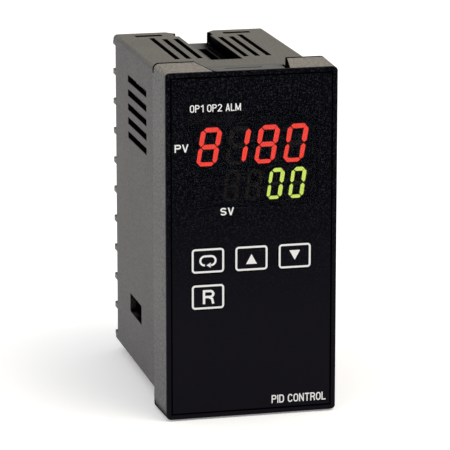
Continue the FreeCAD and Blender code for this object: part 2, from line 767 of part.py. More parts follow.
def barrier(side, zs):
    """One rib, whose outer end stands past the side wall and is rounded at the rear."""
    outer = CASE_X
    rear = [(outer - BARRIER_R + a, BARRIER_END - BARRIER_R + b) for a, b in quarter(BARRIER_R)]
    profile = [(BARRIER_ROOT_X, BLOCK_FLOOR - BITE), (INNER_X, BLOCK_FLOOR - BITE), (INNER_X, SIDE_END)]
    profile += [(outer, SIDE_END)] + rear + [(BARRIER_ROOT_X, BARRIER_END)]
    return prism([(side * x, y, zs[0]) for x, y in profile], (0, 0, zs[1] - zs[0]))


def terminal_block(side):
    """Comb of barriers on a base, one block for each column, with a thinner barrier at each end."""
    base = block(across(side, SPINE_HALF_W, INNER_X), (REAR_WALL[1], BLOCK_FLOOR), (-INNER_Z, INNER_Z))
    heights = terminal_heights()
    barriers = [barrier(side, (INNER_Z - END_BARRIER_T, INNER_Z)),
                barrier(side, (-INNER_Z, END_BARRIER_T - INNER_Z))]
    for below, above in zip(heights, heights[1:]):
        middle = (below + above) / 2
        barriers.append(barrier(side, (middle - BARRIER_T / 2, middle + BARRIER_T / 2)))
    cuts = [tail_slot(side, (REAR_WALL[1] - BITE, BLOCK_FLOOR))]
    for z in heights:
        cuts.append(flat_rod(side * TERMINAL_X, z, SCREW_R + SCREW_POCKET_GAP,
                             (SCREW_POCKET, BLOCK_FLOOR), SHANK_SIDES))
    return base.fuse(barriers).cut(cuts).removeSplitter()


def contact_strips(side):
    """Brass plates under the screws, each with a tail that reaches its board."""
    strips = []
    for z in terminal_heights():
        plate = block(across(side, CONTACT_INNER_X, SIDE_BOARD_X), (BLOCK_FLOOR, CONTACT_BACK),
                      (z - CONTACT_HALF_H, z + CONTACT_HALF_H))
        tail = block(across(side, SIDE_BOARD_X - CONTACT_T, SIDE_BOARD_X), (TAIL_FRONT, BLOCK_FLOOR + BITE),
                     (z - TAIL_HALF_H, z + TAIL_HALF_H))
        hole = flat_rod(side * TERMINAL_X, z, SCREW_R + HOLE_GAP, (BLOCK_FLOOR, CONTACT_BACK), SHANK_SIDES)
        strips.append(plate.fuse(tail).cut(hole).removeSplitter())
    return Part.makeCompound(strips)


def terminal_screws(side):
    """Pan-head screws with captive square washers."""
    screws = []
    washer_back = CONTACT_BACK + WASHER_T
    x = side * TERMINAL_X
    for z in terminal_heights():
        washer = square_rod(x, z, WASHER_HALF, (CONTACT_BACK, washer_back))
        head = flat_rod(x, z, HEAD_R, (washer_back, washer_back + HEAD_T), HEAD_SIDES)
        shank = flat_rod(x, z, SCREW_R, (SCREW_FRONT, CONTACT_BACK), SHANK_SIDES)
        screws.append(washer.fuse([head, shank]).removeSplitter())
    return Part.makeCompound(screws)


# ---------------------------------------------------------------- the assembly

def all_pieces():
    pieces = {
        "case_shell": case_shell(),
        "bezel_frame": bezel_frame(),
        "front_cover": front_cover(),
        "front_film": front_film(),
        "display_window": display_window(),
        "display_board": display_board(),
        "board_screws": board_screws(),
        "upper_display": module_body(UPPER),
        "upper_segments": segments(UPPER),
        "lower_display": module_body(LOWER),
        "lower_segments": segments(LOWER),
        "main_board": side_board(-1),
        "power_board": side_board(1),
        "main_header": board_header(-1),
        "power_header": board_header(1),
        "transformer_core": transformer_core(),
        "transformer_winding": transformer_winding(),
        "surge_disc": surge_disc(),
        "inner_plug": inner_plug(),
        "terminal_block_left": terminal_block(-1),
        "terminal_block_right": terminal_block(1),
        "contacts_left": contact_strips(-1),
        "contacts_right": contact_strips(1),
        "terminal_screws_left": terminal_screws(-1),
        "terminal_screws_right": terminal_screws(1),
    }
    for name, z in RELAYS.items():
        pieces[name] = relay(z)
    for name, values in CHIPS.items():
        pieces[name] = chip(*values)
    for name, values in CANS.items():
        pieces[name] = can(*values)
    for number, x in enumerate(LIGHT_X, start=1):
        pieces["indicator_light_%d" % number] = indicator_light(x)
    for name, (x, z) in KEYS.items():
        pieces["key_" + name] = key_cap(x, z)
        pieces["switch_body_" + name] = switch_body(x, z)
        pieces["switch_stem_" + name] = switch_stem(x, z)
    return pieces


def main():
    os.makedirs("parts", exist_ok=True)
    for name, shape in all_pieces().items():
        shape.exportStep("parts/%s.step" % name)
        report = (name, len(shape.Solids), shape.Volume, shape.isValid())
        print("%-24s %2d solids  %9.1f mm3  valid %s" % report)


if __name__ == "__main__":
    main()
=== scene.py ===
"""Looks of a panel-mounted temperature controller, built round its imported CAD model.

The file is laid out as an add-on and run as a script. Lengths are in metres, in the CAD model's frame:
the front face looks along -Y, the case runs back along +Y, and +Z is up.
"""

import math
from collections import namedtuple

import bmesh
import bpy
from mathutils import Matrix, Vector


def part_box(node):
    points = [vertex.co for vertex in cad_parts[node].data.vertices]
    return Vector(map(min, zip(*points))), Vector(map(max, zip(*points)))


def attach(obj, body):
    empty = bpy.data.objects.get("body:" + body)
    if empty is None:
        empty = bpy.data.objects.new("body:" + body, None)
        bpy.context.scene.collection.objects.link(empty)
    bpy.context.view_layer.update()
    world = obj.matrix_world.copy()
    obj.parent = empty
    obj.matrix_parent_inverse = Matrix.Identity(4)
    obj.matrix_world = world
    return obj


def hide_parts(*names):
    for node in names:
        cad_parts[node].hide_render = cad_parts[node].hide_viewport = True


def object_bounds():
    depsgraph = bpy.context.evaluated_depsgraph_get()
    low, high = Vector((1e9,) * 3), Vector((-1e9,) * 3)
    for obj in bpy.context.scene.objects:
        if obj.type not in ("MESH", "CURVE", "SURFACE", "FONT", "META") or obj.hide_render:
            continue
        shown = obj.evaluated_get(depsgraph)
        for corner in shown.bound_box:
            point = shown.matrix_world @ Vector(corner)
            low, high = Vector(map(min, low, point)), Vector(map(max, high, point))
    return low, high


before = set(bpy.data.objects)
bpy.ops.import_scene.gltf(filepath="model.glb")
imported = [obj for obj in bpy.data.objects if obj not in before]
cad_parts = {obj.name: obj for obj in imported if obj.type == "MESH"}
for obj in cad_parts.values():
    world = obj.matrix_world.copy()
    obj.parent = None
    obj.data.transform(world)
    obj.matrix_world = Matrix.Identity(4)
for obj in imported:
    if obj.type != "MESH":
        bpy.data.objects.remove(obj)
cad_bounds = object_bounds()

bl_info = {
    "name": "Temperature Controller Looks",
    "version": (1, 0, 0),
    "blender": (4, 5, 0),
    "location": "3D View > Sidebar > Controller",
    "description": "Dresses the CAD model of a panel-mounted temperature controller",
    "category": "Object",
}

MM = 0.001

# Painted shade in recesses: how far a place inside the case and one in a slot look for what covers them, and
# the shares of open view between which they turn from painted black shade to open; then the colour that they
# end in.
INSIDE_SHADE = (60 * MM, 0.50, 0.88)
SLOT_SHADE = (4 * MM, 0.68, 0.97)
PAINTED_SHADE_BLACK = (0.0012, 0.0012, 0.0012, 1.0)

# Points closer than this are one, faces flatter than this are one, and edges sharper than this are softened.
WELD = 0.002 * MM
FLAT_LIMIT = math.radians(0.5)
EDGE_LIMIT = math.radians(40)

# How far under its highest point the top of the case and that of the bezel start, and with them their painted
# light.
CASE_TOP_DROP = 2.2 * MM
BEZEL_TOP_DROP = 0.9 * MM

# Slanted edges of the case's tongue, and the strips along them that are painted black as the shade in the
# seam.
TONGUE_ROOT = 12.4 * MM
TONGUE_SLANT = 0.19
TONGUE_FOOT = 45.4 * MM
SEAM_SHADE_STRIP = 0.7 * MM
SEAM_SHADE_STRIP_BEHIND = 1.4 * MM

# Half width of the painted shade line round the film, a black line that stands in for the shade of its
# groove.
GROOVE_SHADE_STRIP = 0.22 * MM

KEYS = ("menu", "up", "down", "reset")
SIDES = ("left", "right")
HOUSING = "housing"

# Seven-segment bars of each figure, lettered clockwise from the top with the middle bar last.
FIGURES = {
    "0": "abcdef", "1": "bc", "2": "abdeg", "3": "abcdg", "4": "bcfg", "5": "acdfg",
    "6": "acdefg", "7": "abc", "8": "abcdefg", "9": "abcdfg", " ": "",
}

# Place of each bar in its digit: steps across and up from the centre, and whether it stands upright.
BAR_PLACES = {
    "a": (0, 1, False), "b": (1, 0.5, True), "c": (1, -0.5, True), "d": (0, -1, False),
    "e": (-1, -0.5, True), "f": (-1, 0.5, True), "g": (0, 0, False),
}


# ---------------------------------------------------------------- settings

def length(name, description, default):
    return bpy.props.FloatProperty(name=name, description=description, default=default * MM,
                                   min=0.0, unit="LENGTH", precision=5)


def lengths(name, description, default):
    return bpy.props.FloatVectorProperty(name=name, description=description, size=len(default),
                                         default=[value * MM for value in default], min=0.0, unit="LENGTH")


def angle(name, description, default):
    return bpy.props.FloatProperty(name=name, description=description, default=math.radians(default),
                                   subtype="ANGLE")


def amount(name, description, default):
    return bpy.props.FloatProperty(name=name, description=description, default=default,
                                   min=0.0, max=1.0, subtype="FACTOR")


def colour(name, description, default):
    return bpy.props.FloatVectorProperty(name=name, description=description, default=default,
                                         min=0.0, max=1.0, size=3, subtype="COLOR")


def wording(name, description, default):
    return bpy.props.StringProperty(name=name, description=description, default=default)


def spot(name, description, default):
    return bpy.props.FloatVectorProperty(name=name, description=description, default=default, size=3,
                                         subtype="TRANSLATION")


class HousingSettings(bpy.types.PropertyGroup):
    case_colour: colour("Moulding", "Colour of the moulded case", (0.0655, 0.0620, 0.0610))
    # Painted light: the top and underside are warmer and paler, standing in for the warm light on the top.
    lit_case_top: colour("Moulding top", "Colour of the case's top and underside", (0.0770, 0.0690, 0.0510))
    bezel_colour: colour("Bezel", "Colour of the bezel frame", (0.116, 0.1135, 0.1135))
    # Painted light: the corner tabs are paler and warmer, standing in for the light falling on them from
    # above.
    lit_bezel_top: colour("Bezel top", "Colour of the bezel's corner tabs", (0.168, 0.150, 0.125))
    grain: length("Grain", "Size of the moulded surface's grain", 0.34)
    edge: length("Edge", "Width of the softened edges", 0.16)


class FrontSettings(bpy.types.PropertyGroup):
    # Painted reflection: the film is paler towards its foot, and its flecks are painted glints.
    film_colour: colour("Film", "Colour of the printed film at its head", (0.0006, 0.0008, 0.0019))
    foot_reflection_colour: colour("Foot", "Colour of the printed film at its foot", (0.0076, 0.0069, 0.0104))
    fleck_glint_colour: colour("Flecks", "Colour of the film's fine flecks", (0.022, 0.023, 0.030))
    tint: amount("Tint", "How much of the light each face of the window holds back", 0.72)
    edge: length("Edge", "Width of the softened edges", 0.12)


class LegendSettings(bpy.types.PropertyGroup):
    ink_colour: colour("Ink", "Colour of the printed legends", (0.98, 0.98, 0.97))
    ink_depth: length("Ink depth", "Thickness of the printed ink", 0.02)
    line_width: length("Line", "Width of the outline round a key", 0.53)
    outline_inset: length("Inset", "Distance from a key's edge to its outline", 0.15)
    outline_corner: length("Corner", "Outer corner radius of the outline", 0.95)
    heading: wording("Heading", "Text over the lights", "OP1 OP2 ALM")
    upper_name: wording("Upper name", "Text beside the upper figures", "PV")
    lower_name: wording("Lower name", "Text under the lower figures", "SV")
    caption: wording("Caption", "Text at the foot", "PID CONTROL")


class DisplaySettings(bpy.types.PropertyGroup):
    upper_reading: wording("Upper", "Figures shown above", "8180")
    lower_reading: wording("Lower", "Figures shown below", "  00")
    upper_colour: colour("Upper bars", "Light of the upper figures", (0.93, 0.066, 0.045))
    lower_colour: colour("Lower bars", "Light of the lower figures", (0.62, 0.78, 0.14))
    upper_digit: lengths("Upper figure", "Width, height, bar width and pitch above", (5.6, 10.2, 1.12, 7.94))
    lower_digit: lengths("Lower figure", "Width, height, bar width and pitch below", (4.2, 8.3, 0.92, 6.06))
    upper_slant: angle("Upper slant", "Lean of the upper figures", 11.0)
    lower_slant: angle("Lower slant", "Lean of the lower figures", 8.0)
    unlit_colour: colour("Unlit bars", "Colour of a bar with no light", (0.16, 0.11, 0.075))
    # Painted glow: an unlit bar has no lamp, and its emission stands in for stray light from the lit ones.
    unlit_painted_glow: colour("Stray light", "Light that an unlit bar takes from the lit ones",
                       (0.0065, 0.0048, 0.0030))
    face_colour: colour("Module face", "Colour of the digit modules' faces", (0.0035, 0.0035, 0.004))
    bar_gap: length("Gap", "Gap between two bars", 0.34)
    bar_depth: length("Depth", "Depth of a bar", 0.9)


class TerminalSettings(bpy.types.PropertyGroup):
    count: bpy.props.IntProperty(name="Terminals", description="Terminals in a column", default=10, min=1)
    edge: length("Edge", "Width of the softened edges", 0.1)
    head_radius: length("Head", "Radius of the screw's head", 2.8)
    head_depth: length("Head depth", "Depth of the screw's head", 1.8)
    washer_depth: length("Washer", "Thickness of the square washer", 0.8)
    shank_radius: length("Shank", "Radius of the screw's shank", 1.5)
    slot_width: length("Slot", "Width of the screw's slot", 0.75)
    slot_depth: length("Slot depth", "Depth of the screw's slot", 0.9)
    cross_width: length("Cross", "Width of the cross in the slot's middle", 0.62)
    cross_reach: length("Cross reach", "Length of the cross from the middle", 1.5)


class StageSettings(bpy.types.PropertyGroup):
    floor_size: bpy.props.FloatProperty(name="Floor", description="Width of the floor", default=6.0,
                                        unit="LENGTH")
    ambient: bpy.props.FloatProperty(name="Ambient", description="Strength of the room's light", default=0.72)
    camera_place: spot("Camera", "Camera position", (-0.19295, -0.78101, 0.19535))
    camera_target: spot("Target", "Point the camera looks at", (-0.007423, -0.014, 0.005832))
    lens: bpy.props.FloatProperty(name="Lens", description="Focal length in millimetres", default=243.1)


class ControllerSettings(bpy.types.PropertyGroup):
    housing: bpy.props.PointerProperty(type=HousingSettings)
    front: bpy.props.PointerProperty(type=FrontSettings)
    legends: bpy.props.PointerProperty(type=LegendSettings)
    displays: bpy.props.PointerProperty(type=DisplaySettings)
    terminals: bpy.props.PointerProperty(type=TerminalSettings)
    stage: bpy.props.PointerProperty(type=StageSettings)


# ---------------------------------------------------------------- node trees

def maths(operation, swapped=False):
    """Method of a value that adds a Math node of one operation."""
    def method(self, *others):
        values = (*others, self) if swapped else (self, *others)
        return self.tree.add("ShaderNodeMath", {"operation": operation}, dict(enumerate(values)))
    return method


class Value:
    """A socket in a node tree. Sums written with it add Math nodes."""

    def __init__(self, tree, socket):
        self.tree = tree
        self.socket = socket

    __add__ = __radd__ = maths("ADD")
    __sub__ = maths("SUBTRACT")
    __rsub__ = maths("SUBTRACT", swapped=True)
    __mul__ = __rmul__ = maths("MULTIPLY")
    __truediv__ = maths("DIVIDE")
    __gt__ = maths("GREATER_THAN")
    __lt__ = maths("LESS_THAN")
    size = maths("ABSOLUTE")
    sign = maths("SIGN")
    fraction = maths("FRACT")
    smaller = maths("MINIMUM")
    larger = maths("MAXIMUM")

    def smooth(self, low, high):
        """Nought below one limit and one above the other, with a soft step between."""
        return self.tree.add("ShaderNodeMapRange", {"interpolation_type": "SMOOTHSTEP"},
                             {"Value": self, "From Min": low, "From Max": high})


class Tree:
    """A node tree to which one method adds every node."""

    def __init__(self, tree):
        self.tree = tree
        self.tree.nodes.clear()

    def add(self, kind, options=None, inputs=None, output=0):
        """Add a node, give it its settings and then its sockets' values or links, and return an output."""
        node = self.tree.nodes.new(kind)
        for name, value in (options or {}).items():
            setattr(node, name, value)
        for name, value in (inputs or {}).items():
            for part in value if isinstance(value, list) else [value]:
                if isinstance(part, Value):
                    self.tree.links.new(part.socket, node.inputs[name])
                else:
                    node.inputs[name].default_value = part
        return Value(self, node.outputs[output]) if len(node.outputs) else None


class Finish(Tree):
    """A material's nodes. Patterns lie on Object coordinates, and sizes are in metres."""

    def __init__(self, name):
        self.material = bpy.data.materials.new(name)
        self.material.use_nodes = True
        super().__init__(self.material.node_tree)
        self.place = self.add("ShaderNodeTexCoord", output="Object")

    def noise(self, feature, detail, stretch=None):
        """Soft noise whose features have a size in metres, nought to one."""
        place = self.place
        if stretch is not None:
            place = self.add("ShaderNodeMapping", {}, {"Vector": place, "Scale": stretch})
        return self.add("ShaderNodeTexNoise", {}, {
            "Vector": place, "Scale": 1.0 / feature, "Detail": detail})

    def axis(self, name):
        return self.add("ShaderNodeSeparateXYZ", {}, {0: self.place}, output=name)

    def occlusion(self, reach, only_local):
        return self.add("ShaderNodeAmbientOcclusion", {"only_local": only_local, "samples": 8},
                        {"Distance": reach}, output="AO")

    def free_of_painted_shade(self):
        """Painted shade: nought inside the case and deep in a slot, which are painted black, and one on the
        open faces.
        """
        inside, slot = (self.occlusion(reach, only_local).smooth(low, high)
                        for (reach, low, high), only_local in ((INSIDE_SHADE, True), (SLOT_SHADE, False)))
        return inside * slot

    def mix(self, factor, low, high):
        """Colour between two others."""
        low, high = (part if isinstance(part, Value) else (*part, 1.0) for part in (low, high))
        return self.add("ShaderNodeMix", {"data_type": "RGBA"}, {0: factor, 6: low, 7: high}, output=2)

    def scaled(self, shown, factor):
        """Colour made darker or paler."""
        value = shown if isinstance(shown, Value) else tuple(shown)
        return self.add("ShaderNodeVectorMath", {"operation": "SCALE"}, {0: value, 3: factor})

    def bump(self, height, depth):
        return self.add("ShaderNodeBump", {}, {"Height": height, "Distance": depth, "Strength": 1.0})

    def surface(self, free_of_painted_shade=None, **inputs):
        """Close the material with a Principled shader, which gives way to painted black shade where it isn't
        open.
        """
        sockets = {name.replace("_", " ").title().replace("Ior", "IOR"): value
                   for name, value in inputs.items()}
        sockets = {name: (*value, 1.0) if isinstance(value, tuple) else value
                   for name, value in sockets.items()}
        shader = self.add("ShaderNodeBsdfPrincipled", {}, sockets)
        if free_of_painted_shade is not None:
            # Painted shade: near-black diffuse mixed in where the surface isn't open.
            black = self.add("ShaderNodeBsdfDiffuse", {}, {"Color": PAINTED_SHADE_BLACK})
            shader = self.add("ShaderNodeMixShader", {}, {0: free_of_painted_shade, 1: black, 2: shader})
        self.add("ShaderNodeOutputMaterial", {}, {"Surface": shader})
        return self.material


class Recipe(Tree):
    """A Geometry Nodes tree with named inputs, which makes what repeats."""

    KINDS = {float: "NodeSocketFloat", int: "NodeSocketInt", tuple: "NodeSocketVector",
             bpy.types.Material: "NodeSocketMaterial"}

    def __init__(self, name, values):
        super().__init__(bpy.data.node_groups.new(name, "GeometryNodeTree"))
        interface = self.tree.interface
        interface.new_socket(name="Geometry", in_out="OUTPUT", socket_type="NodeSocketGeometry")
        interface.new_socket(name="Geometry", in_out="INPUT", socket_type="NodeSocketGeometry")
        self.values = values
        self.sockets = {}
        for label, value in values.items():
            kind = next(kind for python, kind in self.KINDS.items() if isinstance(value, python))
            self.sockets[label] = interface.new_socket(name=label, in_out="INPUT", socket_type=kind)

    def input(self, name):
        return self.add("NodeGroupInput", output=name)

    def real(self, geometry):
        """Geometry with its instances made real."""
        return self.add("GeometryNodeRealizeInstances", {}, {0: geometry})

    def close(self, geometry):
        """End the tree in real geometry with its material."""
        dressed = self.add("GeometryNodeSetMaterial", {},
                           {"Geometry": self.real(geometry), "Material": self.input("Material")})
        self.add("NodeGroupOutput", {}, {0: dressed})

    def run(self, obj):
        """Put the tree on an object and return the plain mesh of its result. The object goes."""
        modifier = obj.modifiers.new(self.tree.name, "NODES")
        modifier.node_group = self.tree
        for label, value in self.values.items():
            modifier[self.sockets[label].identifier] = value
        return mesh_of(obj)


# ---------------------------------------------------------------- finishes

def shade(colour_value, factor):
    return tuple(min(1.0, part * factor) for part in colour_value)


# Top and underside of a moulding, which carry painted light: the height they start from, their colour, how
# much painted shade darkens what rises from them, and a function that gives one where the dark line of a seam
# runs.
PaintedLightCap = namedtuple("PaintedLightCap", "start colour rise_shade seam_line")


def moulded_plastic(name, base, grain, roughness=0.56, depth=0.006, cap=None):
    """Thermoplastic from a spark-eroded mould: fine grain, faint flow marks and a dull sheen."""
    contrast = 0.42
    finish = Finish(name)
    flow = finish.noise(24 * MM, 3.0)
    mottle = finish.noise(1.8 * grain, 1.0)
    fine = finish.noise(grain, 2.0)
    tone = (flow * 0.15 + mottle * 0.5 + fine * 0.35).smooth(0.38, 0.62)
    ground_and_painted_light = base
    seam = 0.0
    # Painted light: the cap colour on the top and underside, with painted shade on what rises from it.
    if cap is not None:
        height = finish.axis("Z").size()
        rise = height.smooth(cap.start + 0.02 * MM, cap.start + 0.2 * MM)
        ground_and_painted_light = finish.mix(height.smooth(cap.start - 0.3 * MM, cap.start), base,
                            finish.mix(rise, cap.colour, shade(cap.colour, cap.rise_shade)))
        # Painted shade: the dark line of the seam between the corner tabs and the tongue.
        seam = cap.seam_line(finish.axis("X").size(), finish.axis("Y"), height)
    dark, pale = (finish.scaled(ground_and_painted_light, factor) for factor in (1.0 - contrast, 1.0 + contrast))
    colour_shown = finish.mix(tone, dark, pale)
    return finish.surface(
        # Painted shade: black in slots, inside the case and along the seam.
        free_of_painted_shade=finish.free_of_painted_shade() * (1.0 - seam),
        base_color=colour_shown,
        roughness=roughness - 0.06 + fine * 0.12,
        normal=finish.bump(fine + mottle * 0.5, depth * MM),
        specular_ior_level=0.25)


def velvet_film(name, front, tint=None):
    """Printed velvet film: near black, paler towards its foot as a painted reflection, with small flecks
    painted as glints that catch the light.
    """
    finish = Finish(name)
    low, high = cad_bounds[0][2], cad_bounds[1][2]
    # Painted reflection towards the foot, and painted glints that fade towards it.
    height = finish.axis("Z").smooth(0.55 * low, 0.45 * high)
    fine = finish.noise(0.33 * MM, 1.0)
    sparse = finish.noise(0.7 * MM, 1.0)
    flecks = (fine * 0.75 + sparse * 0.25).smooth(0.49, 0.70) * (0.06 + height * 0.94)
    gain = 1.0 if tint is None else 1.0 / tint
    ground_and_painted_light = finish.mix(height, shade(front.foot_reflection_colour, gain), shade(front.film_colour, gain))
    inputs = {} if tint is None else {"alpha": tint + flecks * 0.05}
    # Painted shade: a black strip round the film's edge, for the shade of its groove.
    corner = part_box("front_film")[1]
    across = finish.axis("X").size() - corner.x
    edge = across.larger(finish.axis("Z").size() - corner.z).size()
    material = finish.surface(
        free_of_painted_shade=None if tint else edge > GROOVE_SHADE_STRIP,
        base_color=finish.mix(flecks, ground_and_painted_light, shade(front.fleck_glint_colour, gain)),
        roughness=0.55 - flecks * 0.1,
        normal=finish.bump(fine, 0.004 * MM),
        specular_ior_level=0.02,
        **inputs)
    if tint is not None:
        material.surface_render_method = "BLENDED"
    return material


def screen_ink(name, base):
    """Screen-printed ink: a thin even layer with a trace of the mesh it was pressed through."""
    finish = Finish(name)
    weave = finish.noise(0.16 * MM, 2.0)
    return finish.surface(
        base_color=finish.mix(weave.smooth(0.3, 0.7), shade(base, 0.94), base),
        roughness=0.55 + weave * 0.1,
        normal=finish.bump(weave, 0.003 * MM),
        specular_ior_level=0.3)


def lit_bar(name, light, level):
    """Cast diffuser with its lamp on, a little brighter towards its middle."""
    finish = Finish(name)
    cloud = finish.noise(0.8 * MM, 1.0).smooth(0.25, 0.75)
    return finish.surface(
        base_color=shade(light, 0.1),
        roughness=0.45 + cloud * 0.1,
        emission_color=finish.mix(cloud, shade(light, 0.93), light),
        emission_strength=level,
        specular_ior_level=0.1)


def unlit_bar(name, base, glow, level):
    """Cast diffuser with no lamp on: a milky resin with a painted glow, an emission for the little light it
    takes from its neighbours.
    """
    finish = Finish(name)
    cloud = finish.noise(0.5 * MM, 3.0)
    return finish.surface(
        base_color=finish.mix(cloud.smooth(0.3, 0.7), shade(base, 0.6), shade(base, 1.5)),
        emission_color=finish.mix(cloud.smooth(0.35, 0.65), shade(glow, 0.4), shade(glow, 1.6)),
        emission_strength=level,
        roughness=0.4 + cloud * 0.2,
        normal=finish.bump(cloud, 0.01 * MM),
        specular_ior_level=0.2)


def module_paint(name, base):
    """Thin dull paint on the face of a digit module."""
    finish = Finish(name)
    fine = finish.noise(0.2 * MM, 3.0)
    return finish.surface(
        base_color=finish.mix(fine, shade(base, 0.7), shade(base, 1.4)),
        roughness=0.6 + fine * 0.15,
        normal=finish.bump(fine, 0.005 * MM),
        specular_ior_level=0.1)


def circuit_board(name, across_axes, depth=1.0):
    """Glass-fibre board: green solder mask over copper tracks, with weave under it."""
    finish = Finish(name)
    first, second = (finish.axis(axis) for axis in across_axes)
    pitch = 2.54 * MM
    jog = finish.noise(9 * MM, 0.0)
    tracks = ((first / pitch + jog * 3.0).fraction() > 0.62) * ((second / (3 * pitch)).fraction() > 0.12)
    weave = (finish.noise(0.6 * MM, 1.0, (1.0, 6.0, 1.0))
             + finish.noise(0.6 * MM, 1.0, (1.0, 1.0, 6.0))) * 0.5
    mask = finish.mix(weave, shade((0.006, 0.065, 0.026), depth), shade((0.010, 0.10, 0.040), depth))
    return finish.surface(
        base_color=finish.mix(tracks, mask, shade((0.022, 0.17, 0.062), depth)),
        roughness=0.32 + weave * 0.1,
        normal=finish.bump(tracks * 0.8 + weave * 0.1, 0.03 * MM))


def plated_metal(name, base, roughness, tarnish=0.25):
    """Plated metal with faint tool marks and a patchy tarnish."""
    finish = Finish(name)
    marks = finish.noise(0.12 * MM, 3.0)
    patches = finish.noise(2.5 * MM, 4.0).smooth(0.35, 0.75)
    return finish.surface(
        base_color=finish.mix(patches * tarnish + marks * 0.15, base, shade(base, 0.45)),
        metallic=1.0,
        roughness=roughness + patches * 0.15 + marks * 0.08,
        normal=finish.bump(marks, 0.003 * MM))


def wound_tape(name, base):
    """Polyester tape round a winding, in turns that overlap."""
    finish = Finish(name)
    turns = (finish.axis("X") / (1.6 * MM)).fraction()
    cloud = finish.noise(1.5 * MM, 2.0)
    return finish.surface(
        base_color=finish.mix(turns.smooth(0.85, 1.0), finish.mix(cloud, shade(base, 0.85), base),
                              shade(base, 0.55)),
        roughness=0.25 + cloud * 0.15,
        normal=finish.bump(turns, 0.05 * MM))


def plain_moulding(name, base, roughness, grain=0.15, depth=0.004):
    """Small component moulding with a faint texture and shade changes."""
    finish = Finish(name)
    fine = finish.noise(grain * MM, 3.0)
    cloud = finish.noise(3.0 * MM, 3.0)
    return finish.surface(
        base_color=finish.mix((fine + cloud) * 0.5, shade(base, 0.8), shade(base, 1.2)),
        roughness=roughness + fine * 0.1,
        normal=finish.bump(fine, depth * MM))


def sleeved_can(name, sleeve, stripe, stripe_top):
    """Shrink sleeve round a can, with the paler stripe that marks its negative side."""
    finish = Finish(name)
    cloud = finish.noise(2.0 * MM, 2.0)
    band = finish.axis("Z") < stripe_top
    return finish.surface(
        base_color=finish.mix(band * 0.85, finish.mix(cloud, shade(sleeve, 0.8), sleeve), stripe),
        roughness=0.25 + cloud * 0.1,
        normal=finish.bump(cloud, 0.02 * MM))


def ferrite_stone(name):
    """Sintered ferrite: dark, hard and a little pitted."""
    finish = Finish(name)
    pits = finish.noise(0.35 * MM, 4.0)
    return finish.surface(
        base_color=finish.mix(pits, (0.018, 0.018, 0.019), (0.05, 0.049, 0.048)),
        roughness=0.45 + pits * 0.25,
        normal=finish.bump(pits.smooth(0.35, 0.6), 0.03 * MM))


# ---------------------------------------------------------------- meshes

def settings():
    return bpy.context.scene.controller


def piece(name, mesh, material, body=HOUSING):
    """Finished piece at the origin, which rides on a body."""
    obj = bpy.data.objects.new(name, mesh)
    bpy.context.scene.collection.objects.link(obj)
    if material is not None:
        mesh.materials.clear()
        mesh.materials.append(material)
    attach(obj, body)
    return obj


def mesh_of(obj):
    """Plain mesh of a working object with its modifiers put into it. The object goes."""
    bpy.context.view_layer.update()
    evaluated = obj.evaluated_get(bpy.context.evaluated_depsgraph_get())
    mesh = bpy.data.meshes.new_from_object(evaluated)
    obj.modifiers.clear()
    bpy.data.objects.remove(obj)
    return mesh


def loose(name, mesh):
    """Working object that isn't part of the model yet."""
    obj = bpy.data.objects.new(name, mesh)
    bpy.context.scene.collection.objects.link(obj)
    return obj


def mesh_from(name, build):
    """Mesh filled by a function that is given an empty bmesh."""
    work = bmesh.new()
    build(work)
    mesh = bpy.data.meshes.new(name)
    work.to_mesh(mesh)
    work.free()
    return mesh


def smooth_by_angle(mesh, limit=math.radians(32)):
    """Smooth shading that keeps the corners."""
    work = bmesh.new()
    work.from_mesh(mesh)
    for face in work.faces:
        face.smooth = True
    for edge in work.edges:
        edge.smooth = edge.calc_face_angle(math.pi) < limit
    work.to_mesh(mesh)
    work.free()


def softened(node, name, edge, material, body=HOUSING):
    """Copy of a CAD node with its corners softened, which stands in for the node."""
    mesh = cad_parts[node].data.copy()
    mesh.name = name
    work = bmesh.new()
    work.from_mesh(mesh)
    bmesh.ops.remove_doubles(work, verts=work.verts, dist=WELD)
    bmesh.ops.dissolve_limit(work, angle_limit=FLAT_LIMIT, verts=work.verts, edges=work.edges)
    work.to_mesh(mesh)
    work.free()
    if "custom_normal" in mesh.attributes:
        mesh.attributes.remove(mesh.attributes["custom_normal"])
    smooth_by_angle(mesh, EDGE_LIMIT)
    obj = loose(name, mesh)
    bevel = obj.modifiers.new("Soft edges", "BEVEL")
    bevel.width = edge
    bevel.segments = 2
    bevel.limit_method = "ANGLE"
    bevel.angle_limit = EDGE_LIMIT
    bevel.use_clamp_overlap = True
    bevel.loop_slide = False
    weigh = obj.modifiers.new("Flat faces", "WEIGHTED_NORMAL")
    weigh.weight = 100
    weigh.keep_sharp = True
    new = piece(name, mesh_of(obj), material, body)
    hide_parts(node)
    return new


def dress(node, material):
    """Give a CAD node that stays its material."""
    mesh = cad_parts[node].data
    mesh.materials.clear()
    mesh.materials.append(material)


def middle(node):
    low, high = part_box(node)
    return (low + high) / 2


def size(node):
    low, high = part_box(node)
    return high - low


# ---------------------------------------------------------------- operators

